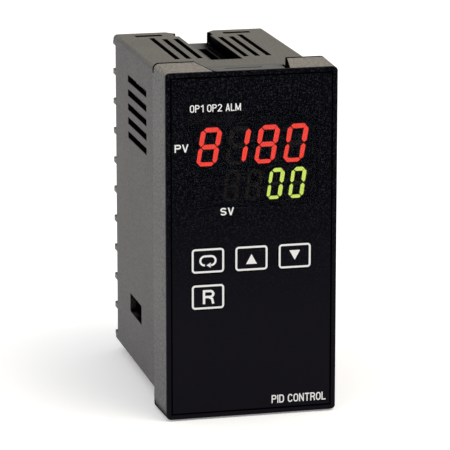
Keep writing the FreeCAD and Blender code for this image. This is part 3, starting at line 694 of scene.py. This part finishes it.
class DressHousing(bpy.types.Operator):
    """Housing and bezel frame, with softened edges and moulded grain"""
    bl_idname = "controller.dress_housing"
    bl_label = "Housing and bezel"

    def execute(self, context):
        housing = settings().housing
        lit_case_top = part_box("case_shell")[1].z - CASE_TOP_DROP
        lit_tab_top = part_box("bezel_frame")[1].z - BEZEL_TOP_DROP
        # Painted light on the tops, and painted shade on the tongue's rise and along the seams.
        case = moulded_plastic("Housing Plastic", tuple(housing.case_colour), housing.grain,
                               cap=PaintedLightCap(lit_case_top, tuple(housing.lit_case_top), 0.5, tongue_seam_shade))
        bezel = moulded_plastic("Bezel Plastic", tuple(housing.bezel_colour), housing.grain, 0.6,
                                cap=PaintedLightCap(lit_tab_top, tuple(housing.lit_bezel_top), 1.0, tab_seam_shade))
        softened("case_shell", "case_moulding", housing.edge, case)
        softened("bezel_frame", "bezel_moulding", housing.edge, bezel)
        return {"FINISHED"}


def tongue_edge(y):
    """Distance of the tongue's slanted edge from the middle."""
    return TONGUE_ROOT + y.smaller(0.0) * TONGUE_SLANT


def tongue_seam_shade(x, y, height):
    """One on the strip of the tongue that lies along its slanted edges, where the shade of the seam is
    painted black.
    """
    return (x > tongue_edge(y) - SEAM_SHADE_STRIP) * (y < 0.0) * (height > TONGUE_FOOT)


def tab_seam_shade(x, y, height):
    """One on the strips of the corner tabs that lie along the tongue and the case, where the seam's shade is
    painted black.
    """
    beside = x < tongue_edge(y) + SEAM_SHADE_STRIP
    return beside.larger(y > -SEAM_SHADE_STRIP_BEHIND) * (height > TONGUE_FOOT)


class DressFront(bpy.types.Operator):
    """Front cover with its rim, the printed film and the smoked window"""
    bl_idname = "controller.dress_front"
    bl_label = "Cover, film and window"

    def execute(self, context):
        front = settings().front
        cover = velvet_film("Cover Plastic", front)
        softened("front_cover", "cover_moulding", front.edge, cover)
        dress("front_film", velvet_film("Velvet Film", front))
        dress("display_window", velvet_film("Smoked Film", front, front.tint))
        return {"FINISHED"}


# Printed line: how far across and up from its corner of the front it starts, and its size, in millimetres;
# then its letters' width and stroke against their height.
PrintedLine = namedtuple("PrintedLine", "across up width height wide stroke")
HEADING = PrintedLine(0.84, 0.37, 13.9, 2.06, 0.58, 0.13)
UPPER_NAME = PrintedLine(2.4, -10.25, 3.75, 2.24, 0.86, 0.175)
LOWER_NAME = PrintedLine(9.1, -1.8, 3.75, 2.2, 0.8, 0.18)
CAPTION = PrintedLine(-17.9, 2.75, 15.2, 2.3, 0.66, 0.15)
LETTER_SIGN = PrintedLine(0.17, -0.05, 3.2, 3.95, 0.8, 0.165)


class PrintLegends(bpy.types.Operator):
    """Words printed on the film"""
    bl_idname = "controller.print_legends"
    bl_label = "Printed words"

    def execute(self, context):
        legends = settings().legends
        ink = screen_ink("White Ink", tuple(legends.ink_colour))
        window_low, window_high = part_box("display_window")
        cover_low, cover_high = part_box("front_cover")
        front_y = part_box("front_film")[0].y - legends.ink_depth
        lines = (
            ("heading_print", legends.heading, window_low.x, window_high.z, HEADING),
            ("upper_name_print", legends.upper_name, cover_low.x, window_high.z, UPPER_NAME),
            ("lower_name_print", legends.lower_name, window_low.x, window_low.z, LOWER_NAME),
            ("caption_print", legends.caption, cover_high.x, cover_low.z, CAPTION),
        )
        for name, text, x, z, line in lines:
            mesh = words_mesh(name, text, line.wide, line.stroke)
            corner = (x + line.across * MM, front_y, z + line.up * MM)
            place_in_box(mesh, corner, line.width * MM, line.height * MM)
            piece(name, mesh, ink)
        return {"FINISHED"}


# Strokes that cross lie this far before one another, so that no two faces share a place.
STROKE_LIFT = 0.0015 * MM

# Gap between two letters, in widths of their strokes.
LETTER_GAP = 0.75


def letter_strokes(letter, wide, line):
    """Centre lines of a plain bold letter one unit tall, and the room it takes across."""
    near = line / 2
    far = wide - near
    mid = wide / 2
    top = 1 - near
    waist = 0.5
    reach = mid - near
    bowl = (top - waist) / 2
    stem = [(near, 0), (near, 1)]
    high_bowl = [(near, top), *arc_points(far - bowl, top - bowl, bowl, 90, -90), (near, waist)]
    upper_half = [(near, waist), *arc_points(mid, top - reach, reach, 180, 0), (far, waist)]
    lower_half = [(near, waist), *arc_points(mid, near + reach, reach, 180, 360), (far, waist)]
    far_m = 1.25 * wide - near
    shapes = {
        "A": ([[(near, 0), (mid, 1)], [(mid, 1), (far, 0)],
               [(0.25 * wide, 0.27), (0.75 * wide, 0.27)]], wide),
        "C": ([arc_points(mid, top - reach, reach, 15, 180)
               + arc_points(mid, near + reach, reach, 180, 345)], wide),
        "D": ([stem, [(near, top), *arc_points(far - reach, top - reach, reach, 90, 0),
                      *arc_points(far - reach, near + reach, reach, 0, -90), (near, near)]], wide),
        "I": ([stem], line),
        "L": ([stem, [(near, near), (0.85 * wide, near)]], 0.85 * wide),
        "M": ([stem, [(far_m, 0), (far_m, 1)], [(near, 0.96), (0.62 * wide, 0.1)],
               [(0.62 * wide, 0.1), (far_m, 0.96)]], 1.25 * wide),
        "N": ([stem, [(far, 0), (far, 1)], [(near, 0.95), (far, 0.05)]], wide),
        "O": ([upper_half, lower_half], wide),
        "P": ([stem, high_bowl], wide),
        "R": ([stem, high_bowl, [(mid, waist), (far - 0.1 * wide, 0.36), (far, 0)]], wide),
        "S": ([arc_points(mid, top - bowl, reach, 20, 275, bowl),
               arc_points(mid, (waist + near) / 2, reach, 95, -160, (waist - near) / 2)], wide),
        "T": ([[(0, top), (wide, top)], [(mid, 0), (mid, 1)]], wide),
        "V": ([[(near, 1), (mid, 0)], [(mid, 0), (far, 1)]], wide),
        "1": ([[(0.6 * wide, 0), (0.6 * wide, 1)], [(0.6 * wide, 0.9), (0.12 * wide, 0.74)]],
              0.6 * wide + near),
        "2": ([arc_points(mid, top - bowl, reach, 165, -40, bowl) + [(near, near)],
               [(0, near), (wide, near)]], wide),
        " ": ([], 0.45 * wide),
    }
    return shapes[letter]


def words_mesh(name, text, wide, line):
    """Bold words as closed flat strokes one unit tall, not yet at their size."""
    strokes = []
    start = 0.0
    for letter in text:
        lines, advance = letter_strokes(letter, wide, line)
        for points in lines:
            moved = [(start + x, z) for index, (x, z) in enumerate(points)
                     if index == 0 or math.dist(points[index - 1], (x, z)) > 1e-6]
            lift = Vector((0.0, len(strokes) % 4 * -STROKE_LIFT, 0.0))
            strokes.append(flat_band("stroke", lift, moved, line))
        start += advance + LETTER_GAP * line
    return joined(name, strokes)


def place_in_box(mesh, corner, width, height):
    """Scale a mesh across its face to a width and height, and put its low corner at a point."""
    points = [vertex.co.copy() for vertex in mesh.vertices]
    low = Vector([min(point[axis] for point in points) for axis in range(3)])
    high = Vector([max(point[axis] for point in points) for axis in range(3)])
    scale = Vector((width / (high.x - low.x), 1.0, height / (high.z - low.z)))
    move = Matrix.Translation(Vector(corner)) @ Matrix.Diagonal((*scale, 1.0)) @ Matrix.Translation(-low)
    mesh.transform(move)


# Half width, half height and offset from the middle of the triangles that point up and down.
TRIANGLE = (1.5 * MM, 1.35 * MM, 0.22 * MM)

# Half width, half height and line of the loop; where its line starts and ends from the middle; the length
# and half width of its arrow's head; and how far the head laps over the line.
LOOP = (2.1 * MM, 1.25 * MM, 0.55 * MM)
LOOP_ENDS = (-0.9 * MM, 0.55 * MM)
LOOP_ARROW = (1.15 * MM, 0.72 * MM)
LOOP_OVERLAP = 0.2 * MM

# Smallest corner that the inner side of an outline round a key may have.
LEAST_CORNER = 0.1 * MM


class MakeKeys(bpy.types.Operator):
    """Four keys with softened edges, each with its printed outline and sign"""
    bl_idname = "controller.make_keys"
    bl_label = "Keys and their signs"

    def execute(self, context):
        front = settings().front
        ink = screen_ink("Key Ink", tuple(settings().legends.ink_colour))
        plastic = velvet_film("Key Film", front)
        signs = {"menu": loop_sign, "up": up_sign, "down": down_sign, "reset": letter_sign}
        for key in KEYS:
            body = key + "_key"
            softened("key_" + key, "key_cap_" + key, front.edge, plastic, body)
            piece("key_outline_" + key, outline_ring(key), ink, body)
            piece("key_sign_" + key, signs[key](key), ink, body)
        return {"FINISHED"}


def key_face(key):
    """Centre of a key's front face, moved out by a little more than the ink's depth."""
    low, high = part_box("key_" + key)
    centre = (low + high) / 2
    return Vector((centre.x, low.y - settings().legends.ink_depth - 2 * STROKE_LIFT, centre.z))


def key_size(key):
    """Width and height of a key's front face, which is smaller than its flange behind the cover."""
    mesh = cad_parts["key_" + key].data
    front = min(vertex.co.y for vertex in mesh.vertices)
    face = [vertex.co for vertex in mesh.vertices if vertex.co.y < front + 0.01 * MM]
    return (max(point.x for point in face) - min(point.x for point in face),
            max(point.z for point in face) - min(point.z for point in face))


def rounded_loop(half_w, half_h, radius, steps=8):
    """Points of a rounded rectangle about the origin, anticlockwise."""
    points = []
    for turn, (sx, sz) in enumerate(((1, 1), (-1, 1), (-1, -1), (1, -1))):
        for step in range(steps + 1):
            a = math.radians(90 * (turn + step / steps))
            points.append((sx * (half_w - radius) + radius * math.cos(a),
                           sz * (half_h - radius) + radius * math.sin(a)))
    return points


def ink_band(name, centre, near_side, far_side, closed):
    """Flat band of ink between two lines with the same number of points, or a ring where it's closed."""
    depth = settings().legends.ink_depth

    def build(work):
        rows = [[work.verts.new((centre.x + x, centre.y + y, centre.z + z)) for x, z in side]
                for side, y in ((near_side, 0.0), (far_side, 0.0), (far_side, depth), (near_side, depth))]
        count = len(near_side)
        for low, high in zip(rows, rows[1:] + rows[:1]):
            for index in range(count if closed else count - 1):
                after = (index + 1) % count
                work.faces.new((low[index], low[after], high[after], high[index]))
        if not closed:
            for end in (0, -1):
                work.faces.new([row[end] for row in rows])
        bmesh.ops.recalc_face_normals(work, faces=work.faces)
    return mesh_from(name, build)


def flat_band(name, centre, points, width):
    """Flat band of ink along a line."""
    return ink_band(name, centre, offset_line(points, width / 2), offset_line(points, -width / 2), False)


def outline_ring(key):
    """Rounded outline printed round a key."""
    legends = settings().legends
    half_w, half_h = (full / 2 - legends.outline_inset for full in key_size(key))
    line = legends.line_width
    outer = rounded_loop(half_w, half_h, legends.outline_corner)
    inner = rounded_loop(half_w - line, half_h - line, max(legends.outline_corner - line, LEAST_CORNER))
    return ink_band("key_outline_" + key, key_face(key), outer, inner, True)


def prism(name, points, front, back):
    """Closed plate across the Y axis, from its outline."""
    def build(work):
        rows = [[work.verts.new((x, y, z)) for x, z in points] for y in (front, back)]
        work.faces.new(rows[0])
        work.faces.new(rows[1][::-1])
        for index in range(len(points)):
            after = (index + 1) % len(points)
            work.faces.new((rows[0][after], rows[0][index], rows[1][index], rows[1][after]))
        bmesh.ops.recalc_face_normals(work, faces=work.faces)
    return mesh_from(name, build)


def flat_shape(name, centre, points):
    """Closed flat shape from its outline, as thick as the ink."""
    moved = [(centre.x + x, centre.z + z) for x, z in points]
    return prism(name, moved, centre.y, centre.y + settings().legends.ink_depth)


def triangle(name, key, direction):
    half_w, half_h, drop = TRIANGLE
    middle_z = -drop * direction
    points = ((-half_w, middle_z - half_h * direction), (half_w, middle_z - half_h * direction),
              (0.0, middle_z + half_h * direction))
    return flat_shape(name, key_face(key), points)


def up_sign(key):
    return triangle("key_sign_" + key, key, 1)


def down_sign(key):
    return triangle("key_sign_" + key, key, -1)


def letter_sign(key):
    """Letter in the middle of a key, moved a little as its line says."""
    mesh = words_mesh("key_sign_" + key, "R", LETTER_SIGN.wide, LETTER_SIGN.stroke)
    face = key_face(key)
    width, height = LETTER_SIGN.width * MM, LETTER_SIGN.height * MM
    place_in_box(mesh, (face.x - width / 2 + LETTER_SIGN.across * MM, face.y,
                        face.z - height / 2 + LETTER_SIGN.up * MM), width, height)
    return mesh


def loop_sign(key):
    """Loop that runs over the top and comes back to the bottom as an arrow."""
    face = key_face(key)
    half_w, half_h, line = LOOP
    start, end = LOOP_ENDS
    centre_line = [(start, -half_h), *arc_points(half_h - half_w, 0.0, half_h, -90, -270),
                   *arc_points(half_w - half_h, 0.0, half_h, 90, -90), (end, -half_h)]
    band = flat_band("band", face, centre_line, line)
    reach, half_head = LOOP_ARROW
    foot = end + LOOP_OVERLAP
    arrow = flat_shape("arrow", face, ((foot - reach, -half_h), (foot, half_head - half_h),
                                       (foot, -half_head - half_h)))
    return joined("key_sign_" + key, [band, arrow])


# Straight lines in an arc of printed ink.
ARC_STEPS = 12


def arc_points(x, z, radius, start, end, rise=None):
    """Points along an arc, which is part of an ellipse where its rise differs from its radius."""
    angles = [math.radians(start + (end - start) * step / ARC_STEPS) for step in range(ARC_STEPS + 1)]
    return [(x + radius * math.cos(a), z + (rise or radius) * math.sin(a)) for a in angles]


def offset_line(points, distance):
    """Points moved sideways from a line by a distance."""
    moved = []
    for index, point in enumerate(points):
        before = Vector(points[max(index - 1, 0)])
        after = Vector(points[min(index + 1, len(points) - 1)])
        along = (after - before).normalized()
        moved.append((point[0] - along.y * distance, point[1] + along.x * distance))
    return moved


def joined(name, meshes):
    """One mesh that holds several."""
    def build(work):
        for mesh in meshes:
            work.from_mesh(mesh)
    return mesh_from(name, build)


# Colour, and painted glow for stray light, of the indicator lights against those of an unlit bar.
PIPE_SHADE = 0.4
PIPE_PAINTED_GLOW = 0.35


class LightDisplays(bpy.types.Operator):
    """Figures of both displays, lit and unlit, and the indicator lights"""
    bl_idname = "controller.light_displays"
    bl_label = "Displays and lights"

    def execute(self, context):
        displays = settings().displays
        face = module_paint("Module Face", tuple(displays.face_colour))
        # The lamps make up for the light that both faces of the window hold back.
        level = 1.0 / (1.0 - settings().front.tint) ** 2
        dark = unlit_bar("Unlit Diffuser", tuple(displays.unlit_colour), tuple(displays.unlit_painted_glow), level)
        for row, slot in (("upper", "segment_red"), ("lower", "segment_green")):
            lit = lit_bar(row.title() + " Diffuser", tuple(getattr(displays, row + "_colour")), level)
            for state, material in (("lit", lit), ("unlit", dark)):
                made = digit_bars("%s_%s_bars" % (row, state), row, state == "lit", material)
                bars = piece("%s_%s_bars" % (row, state), made, material)
                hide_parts(row + "_segments")
            dress(row + "_display", face)
        # The unlit indicator lights get a painted glow that stands in for stray light.
        pipe = unlit_bar("Light Pipe", shade(displays.unlit_colour, PIPE_SHADE),
                         shade(displays.unlit_painted_glow, PIPE_PAINTED_GLOW), level)
        for number in (1, 2, 3):
            dress("indicator_light_%d" % number, pipe)
        return {"FINISHED"}


def digit_bars(name, row, lit, material):
    """Mesh of the bars of one display that are lit, or of those that aren't."""
    displays = settings().displays
    width, height, bar, pitch = getattr(displays, row + "_digit")
    reading = getattr(displays, row + "_reading")
    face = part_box(row + "_display")
    centre = (face[0] + face[1]) / 2
    half_w = (width - bar) / 2
    half_h = (height - bar) / 2
    places = []
    for index, figure in enumerate(reading.rjust(4)):
        digit_x = centre.x + (index - (len(reading) - 1) / 2) * pitch
        for letter, (across, up, upright) in BAR_PLACES.items():
            if (letter in FIGURES[figure]) == lit:
                places.append((digit_x + across * half_w, face[0].y, centre.z + up * half_h, upright))
    points = bpy.data.meshes.new(name)
    points.from_pydata([place[:3] for place in places], [], [])
    upright = points.attributes.new("upright", "BOOLEAN", "POINT")
    for datum, place in zip(upright.data, places):
        datum.value = place[3]
    recipe = bar_recipe({
        "Flat Length": 2 * half_w - displays.bar_gap,
        "Upright Length": half_h - displays.bar_gap,
        "Bar Width": bar,
        "Bar Depth": displays.bar_depth,
        "Lean": math.tan(getattr(displays, row + "_slant")),
        "Middle Height": centre.z,
        "Material": material,
    })
    return recipe.run(loose(name, points))


def bar_recipe(values):
    """Pointed bars on points, those marked upright turned a quarter, and all leaned over."""
    recipe = Recipe("Digit bars", values)
    upright = recipe.add("GeometryNodeInputNamedAttribute", {"data_type": "BOOLEAN"}, {"Name": "upright"})
    flat = recipe.add("FunctionNodeBooleanMath", {"operation": "NOT"}, {0: upright})
    placed = []
    for label, chosen, turn in (("Flat Length", flat, 0.0), ("Upright Length", upright, math.pi / 2)):
        bar = pointed_bar(recipe, recipe.input(label))
        placed.append(recipe.add("GeometryNodeInstanceOnPoints", {}, {
            "Points": recipe.input("Geometry"), "Selection": chosen, "Instance": bar,
            "Rotation": (0.0, turn, 0.0)}))
    both = recipe.add("GeometryNodeJoinGeometry", {}, {0: placed[::-1]})
    place = recipe.add("GeometryNodeInputPosition")
    height = recipe.add("ShaderNodeSeparateXYZ", {}, {0: place}, output="Z")
    lean = (height - recipe.input("Middle Height")) * recipe.input("Lean")
    shift = recipe.add("ShaderNodeCombineXYZ", {}, {"X": lean})
    recipe.close(recipe.add("GeometryNodeSetPosition", {}, {"Geometry": recipe.real(both), "Offset": shift}))
    return recipe


def pointed_bar(recipe, bar_length):
    """Six-sided prism pulled out to a pointed bar that lies along X, with its front at Y nought."""
    hexagon = recipe.add("GeometryNodeMeshCylinder", {"fill_type": "NGON"}, {
        "Vertices": 6, "Side Segments": 1, "Radius": 1.0, "Depth": recipe.input("Bar Depth")})
    place = recipe.add("GeometryNodeInputPosition")
    x, y, z = (recipe.add("ShaderNodeSeparateXYZ", {}, {0: place}, output=axis) for axis in "XYZ")
    width = recipe.input("Bar Width")
    long = width * x + x.sign() * (bar_length * 0.5 - width)
    tall = y * width * (0.5 / math.sin(math.radians(60)))
    deep = recipe.input("Bar Depth") * 0.5 - z
    shape = recipe.add("ShaderNodeCombineXYZ", {}, {"X": long, "Y": deep, "Z": tall})
    return recipe.add("GeometryNodeSetPosition", {}, {"Geometry": hexagon, "Position": shape})


class DressElectronics(bpy.types.Operator):
    """Boards and the components on them"""
    bl_idname = "controller.dress_electronics"
    bl_label = "Boards and components"

    def execute(self, context):
        upright = circuit_board("Upright Board", "YZ")
        black = plain_moulding("Black Moulding", (0.015, 0.015, 0.016), 0.45)
        relay = plain_moulding("Relay Moulding", (0.02, 0.10, 0.36), 0.3)
        stem = plain_moulding("Stem Brown", (0.16, 0.07, 0.03), 0.4)
        finishes = {
            "display_board": circuit_board("Display Board", "XZ", 0.15),
            "board_screws": plated_metal("Board Screw Zinc", (0.62, 0.63, 0.66), 0.3),
            "transformer_core": ferrite_stone("Ferrite"),
            "transformer_winding": wound_tape("Winding Tape", (0.75, 0.52, 0.03)),
            "surge_disc": plain_moulding("Disc Lacquer", (0.03, 0.12, 0.42), 0.35, 0.4, 0.02),
            "fuse_link": plain_moulding("Fuse Ceramic", (0.62, 0.56, 0.44), 0.3),
            "inner_plug": plain_moulding("White Nylon", (0.80, 0.79, 0.75), 0.4),
        }
        alike = (
            (upright, ("main_board", "power_board")),
            (relay, ("relay_output_1", "relay_output_2", "relay_alarm")),
            (black, ("main_header", "power_header", "microcontroller", "memory_chip", "input_converter",
                     "bridge_rectifier", "junction_sensor", *("switch_body_" + key for key in KEYS))),
            (stem, ["switch_stem_" + key for key in KEYS]),
        )
        for material, names in alike:
            finishes.update(dict.fromkeys(names, material))
        for name in ("input_capacitor", "output_capacitor", "filter_capacitor"):
            stripe_top = middle(name).z - size(name).z * 0.3
            finishes[name] = sleeved_can(name.replace("_", " ").title(), (0.02, 0.022, 0.05),
                                         (0.45, 0.47, 0.5), stripe_top)
        for name, material in finishes.items():
            dress(name, material)
        latch = mesh_from("plug_latch", plug_latch)
        piece("plug_latch", latch, finishes["inner_plug"])
        return {"FINISHED"}


# Low and high corners of the plug's latch from the plug's own low corner at its top, and its softened edges.
LATCH_LOW = Vector((-0.45, -3.4, -1.1)) * MM
LATCH_HIGH = Vector((1.6, 4.0, 0.85)) * MM
LATCH_EDGE = 0.2 * MM


def plug_latch(work):
    """Latch that stands up from the inner plug towards the highest vent."""
    low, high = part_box("inner_plug")
    corner = Vector((low.x, low.y, high.z))
    centre = corner + (LATCH_LOW + LATCH_HIGH) / 2
    bmesh.ops.create_cube(work, size=1.0, matrix=Matrix.Translation(centre)
                          @ Matrix.Diagonal((*(LATCH_HIGH - LATCH_LOW), 1.0)))
    bmesh.ops.bevel(work, geom=work.edges, offset=LATCH_EDGE, segments=2, affect="EDGES", profile=0.5)


# Profile of a screw's head from its underside, in shares of its radius and depth.
HEAD_PROFILE = ((0.0, 0.0), (1.0, 0.0), (1.0, 0.5), (0.93, 0.75), (0.72, 0.95556), (0.4, 1.0), (0.0, 1.0))

# Tip of the shank against its radius, and the length over which it narrows.
SHANK_TIP = 0.8
SHANK_CHAMFER = 0.3 * MM

# Facets round the head and the shank.
HEAD_STEPS = 40
SHANK_STEPS = 20

# Corner radius of the washer, the slot's turn in degrees, and how far what cuts the slot runs past the head.
WASHER_CORNER = 0.5 * MM
SLOT_TURN = 35
CUT_PAST = 0.4 * MM


class MakeTerminals(bpy.types.Operator):
    """Terminal blocks, contacts and slotted screws with captive washers"""
    bl_idname = "controller.make_terminals"
    bl_label = "Terminals"

    def execute(self, context):
        terminals = settings().terminals
        block = moulded_plastic("Block Plastic", (0.105, 0.102, 0.096), 0.25 * MM, 0.5, 0.004)
        brass = plated_metal("Contact Brass", (0.72, 0.52, 0.22), 0.32)
        zinc = plated_metal("Screw Zinc", (0.66, 0.67, 0.68), 0.26, 0.3)
        for side in SIDES:
            softened("terminal_block_" + side, "barriers_" + side, terminals.edge, block)
            dress("contacts_" + side, brass)
            node = "terminal_screws_" + side
            name = "clamp_screws_" + side
            screws = piece(name, screw_column(name, node, terminals, zinc), zinc)
            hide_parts(node)
        return {"FINISHED"}


def screw_column(name, node, terminals, material):
    """Column of screws, repeated up the CAD screws' box from one made at its foot."""
    low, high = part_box(node)
    washer = high.x - low.x
    pitch = (high.z - low.z - washer) / (terminals.count - 1)
    foot = Vector(((low.x + high.x) / 2, 0.0, low.z + washer / 2))
    screw = clamp_screw(name, washer, low.y, high.y, terminals)
    recipe = Recipe("Column of screws", {"Count": terminals.count, "Foot": tuple(foot),
                                         "Step": (0.0, 0.0, pitch), "Material": material})
    line = recipe.add("GeometryNodeMeshLine", {"mode": "OFFSET"}, {
        "Count": recipe.input("Count"), "Start Location": recipe.input("Foot"),
        "Offset": recipe.input("Step")})
    recipe.close(recipe.add("GeometryNodeInstanceOnPoints", {}, {
        "Points": line, "Instance": recipe.input("Geometry")}))
    return recipe.run(loose(name, screw))


def clamp_screw(name, washer, front, back, terminals):
    """One screw about the Y axis: shank, square washer and a domed head with a slot and cross."""
    head_r = terminals.head_radius
    shank_r = terminals.shank_radius
    under = back - terminals.head_depth
    seat = under - terminals.washer_depth
    head = lathe([(head_r * across, under + terminals.head_depth * up) for across, up in HEAD_PROFILE],
                 HEAD_STEPS)
    shank = lathe([(0.0, front), (shank_r * SHANK_TIP, front), (shank_r, front + SHANK_CHAMFER),
                   (shank_r, seat), (0.0, seat)], SHANK_STEPS)
    plate = prism("plate", rounded_loop(washer / 2, washer / 2, WASHER_CORNER, 4), seat, under)
    cuts = ((terminals.slot_width, head_r + CUT_PAST, 0),
            (terminals.cross_width, terminals.cross_reach, 0),
            (terminals.cross_width, terminals.cross_reach, 90))
    carved = cut_by(head, [slot_box(reach, width, back - terminals.slot_depth, back + CUT_PAST, turn)
                           for width, reach, turn in cuts])
    smooth_by_angle(carved)
    smooth_by_angle(shank)
    return joined(name, [carved, shank, plate])


def lathe(profile, steps):
    """Closed solid turned about the Y axis from radius and height pairs that start and end on it."""
    def build(work):
        rings = []
        for radius, y in profile:
            if radius == 0.0:
                rings.append([work.verts.new((0.0, y, 0.0))])
                continue
            angles = [2 * math.pi * step / steps for step in range(steps)]
            rings.append([work.verts.new((radius * math.cos(a), y, radius * math.sin(a))) for a in angles])
        for low, high in zip(rings, rings[1:]):
            for index in range(steps):
                after = (index + 1) % steps
                corners = [low[index % len(low)], low[after % len(low)], high[after % len(high)],
                           high[index % len(high)]]
                work.faces.new(list(dict.fromkeys(corners)))
        bmesh.ops.recalc_face_normals(work, faces=work.faces)
    return mesh_from("turned", build)


def slot_box(reach, width, front, back, turn):
    """Cutting box through the Y axis, turned about it."""
    def build(work):
        place = (Matrix.Rotation(math.radians(turn + SLOT_TURN), 4, "Y")
                 @ Matrix.Translation((0.0, (front + back) / 2, 0.0))
                 @ Matrix.Diagonal((2 * reach, back - front, width, 1.0)))
        bmesh.ops.create_cube(work, size=1.0, matrix=place)
    return mesh_from("slot", build)


def cut_by(mesh, cutters):
    """Mesh with other meshes cut out of it, one after another."""
    for cutter in cutters:
        obj = loose("cut", mesh)
        tool = loose("cutter", cutter)
        boolean = obj.modifiers.new("Cut", "BOOLEAN")
        boolean.operation = "DIFFERENCE"
        boolean.solver = "EXACT"
        boolean.object = tool
        mesh = mesh_of(obj)
        bpy.data.objects.remove(tool)
    return mesh


# Place, width, power in watts and colour of each lamp.
LAMPS = {
    "key_lamp": ((0.5, -0.45, 1.3), 0.9, 8.0, (1.0, 0.93, 0.82)),
    "fill_lamp": ((-1.1, -0.5, 0.5), 0.9, 2.5, (0.94, 0.97, 1.0)),
}
WHITE = (1.0, 1.0, 1.0, 1.0)

# How far the floor lies under the part.
FLOOR_GAP = 0.02 * MM


class SetStage(bpy.types.Operator):
    """Pale floor, soft light and the camera"""
    bl_idname = "controller.set_stage"
    bl_label = "Floor, light and camera"

    def execute(self, context):
        stage = settings().stage
        scene = context.scene
        floor = bpy.data.objects.new("floor", mesh_from("floor", floor_plane))
        scene.collection.objects.link(floor)
        floor.data.materials.append(floor_finish())
        scene.world = room(stage.ambient)
        for name, lamp in LAMPS.items():
            soft_lamp(name, *lamp)
        camera = bpy.data.objects.new("camera", bpy.data.cameras.new("camera"))
        scene.collection.objects.link(camera)
        place = Vector(stage.camera_place)
        camera.data.lens = stage.lens
        camera.location = place
        camera.rotation_euler = (Vector(stage.camera_target) - place).to_track_quat("-Z", "Y").to_euler()
        scene.camera = camera
        scene.view_settings.view_transform = "Standard"
        return {"FINISHED"}


def floor_plane(work):
    """Floor just under the part."""
    half = settings().stage.floor_size / 2
    z = cad_bounds[0][2] - FLOOR_GAP
    work.faces.new([work.verts.new((x * half, y * half, z)) for x, y in ((-1, -1), (1, -1), (1, 1), (-1, 1))])


def seen_directly(tree):
    """One for rays from the camera and for those seen in gloss or through glass."""
    camera, gloss, glass = (tree.add("ShaderNodeLightPath", output=name)
                            for name in ("Is Camera Ray", "Is Glossy Ray", "Is Transmission Ray"))
    return camera.larger(gloss.larger(glass))


def floor_finish():
    """Pale floor that reads as white where nothing shades it."""
    finish = Finish("Pale Floor")
    cloud = finish.noise(0.4, 2.0)
    seen = seen_directly(finish)
    lit = finish.mix(cloud, (0.62, 0.62, 0.61), (0.64, 0.64, 0.63))
    plain = finish.add("ShaderNodeBsdfDiffuse", {}, {"Color": finish.mix(seen, lit, WHITE[:3])})
    glow = finish.add("ShaderNodeEmission", {}, {"Color": WHITE, "Strength": seen * 0.22})
    both = finish.add("ShaderNodeAddShader", {}, {0: plain, 1: glow})
    finish.add("ShaderNodeOutputMaterial", {}, {"Surface": both})
    return finish.material


def room(ambient):
    """White room that lights the part at a plain level."""
    world = bpy.data.worlds.new("room")
    world.use_nodes = True
    tree = Tree(world.node_tree)
    seen = seen_directly(tree)
    light = tree.add("ShaderNodeBackground", {}, {
        "Color": WHITE, "Strength": ambient + seen * (1.0 - ambient)})
    tree.add("ShaderNodeOutputWorld", {}, {"Surface": light})
    return world


def soft_lamp(name, place, width, power, tone):
    """Square lamp that faces the origin."""
    lamp = bpy.data.lights.new(name, "AREA")
    lamp.size = width
    lamp.energy = power
    lamp.color = tone
    obj = bpy.data.objects.new(name, lamp)
    obj.location = place
    obj.rotation_euler = (-Vector(place)).to_track_quat("-Z", "Y").to_euler()
    bpy.context.scene.collection.objects.link(obj)


# ---------------------------------------------------------------- add-on

class ControllerPanel(bpy.types.Panel):
    """Buttons that make the pieces"""
    bl_idname = "VIEW3D_PT_controller"
    bl_label = "Temperature controller"
    bl_space_type = "VIEW_3D"
    bl_region_type = "UI"
    bl_category = "Controller"

    def draw(self, context):
        for operator in OPERATORS:
            self.layout.operator(operator.bl_idname)


GROUPS = (HousingSettings, FrontSettings, LegendSettings, DisplaySettings, TerminalSettings, StageSettings,
          ControllerSettings)
OPERATORS = (DressHousing, DressFront, PrintLegends, MakeKeys, LightDisplays, DressElectronics, MakeTerminals,
             SetStage)
CLASSES = (*GROUPS, *OPERATORS, ControllerPanel)


def register():
    for item in CLASSES:
        bpy.utils.register_class(item)
    bpy.types.Scene.controller = bpy.props.PointerProperty(type=ControllerSettings)


def unregister():
    del bpy.types.Scene.controller
    for item in reversed(CLASSES):
        bpy.utils.unregister_class(item)


def main():
    register()
    for operator in OPERATORS:
        category, name = operator.bl_idname.split(".")
        getattr(getattr(bpy.ops, category), name)()


if __name__ == "__main__":
    main()
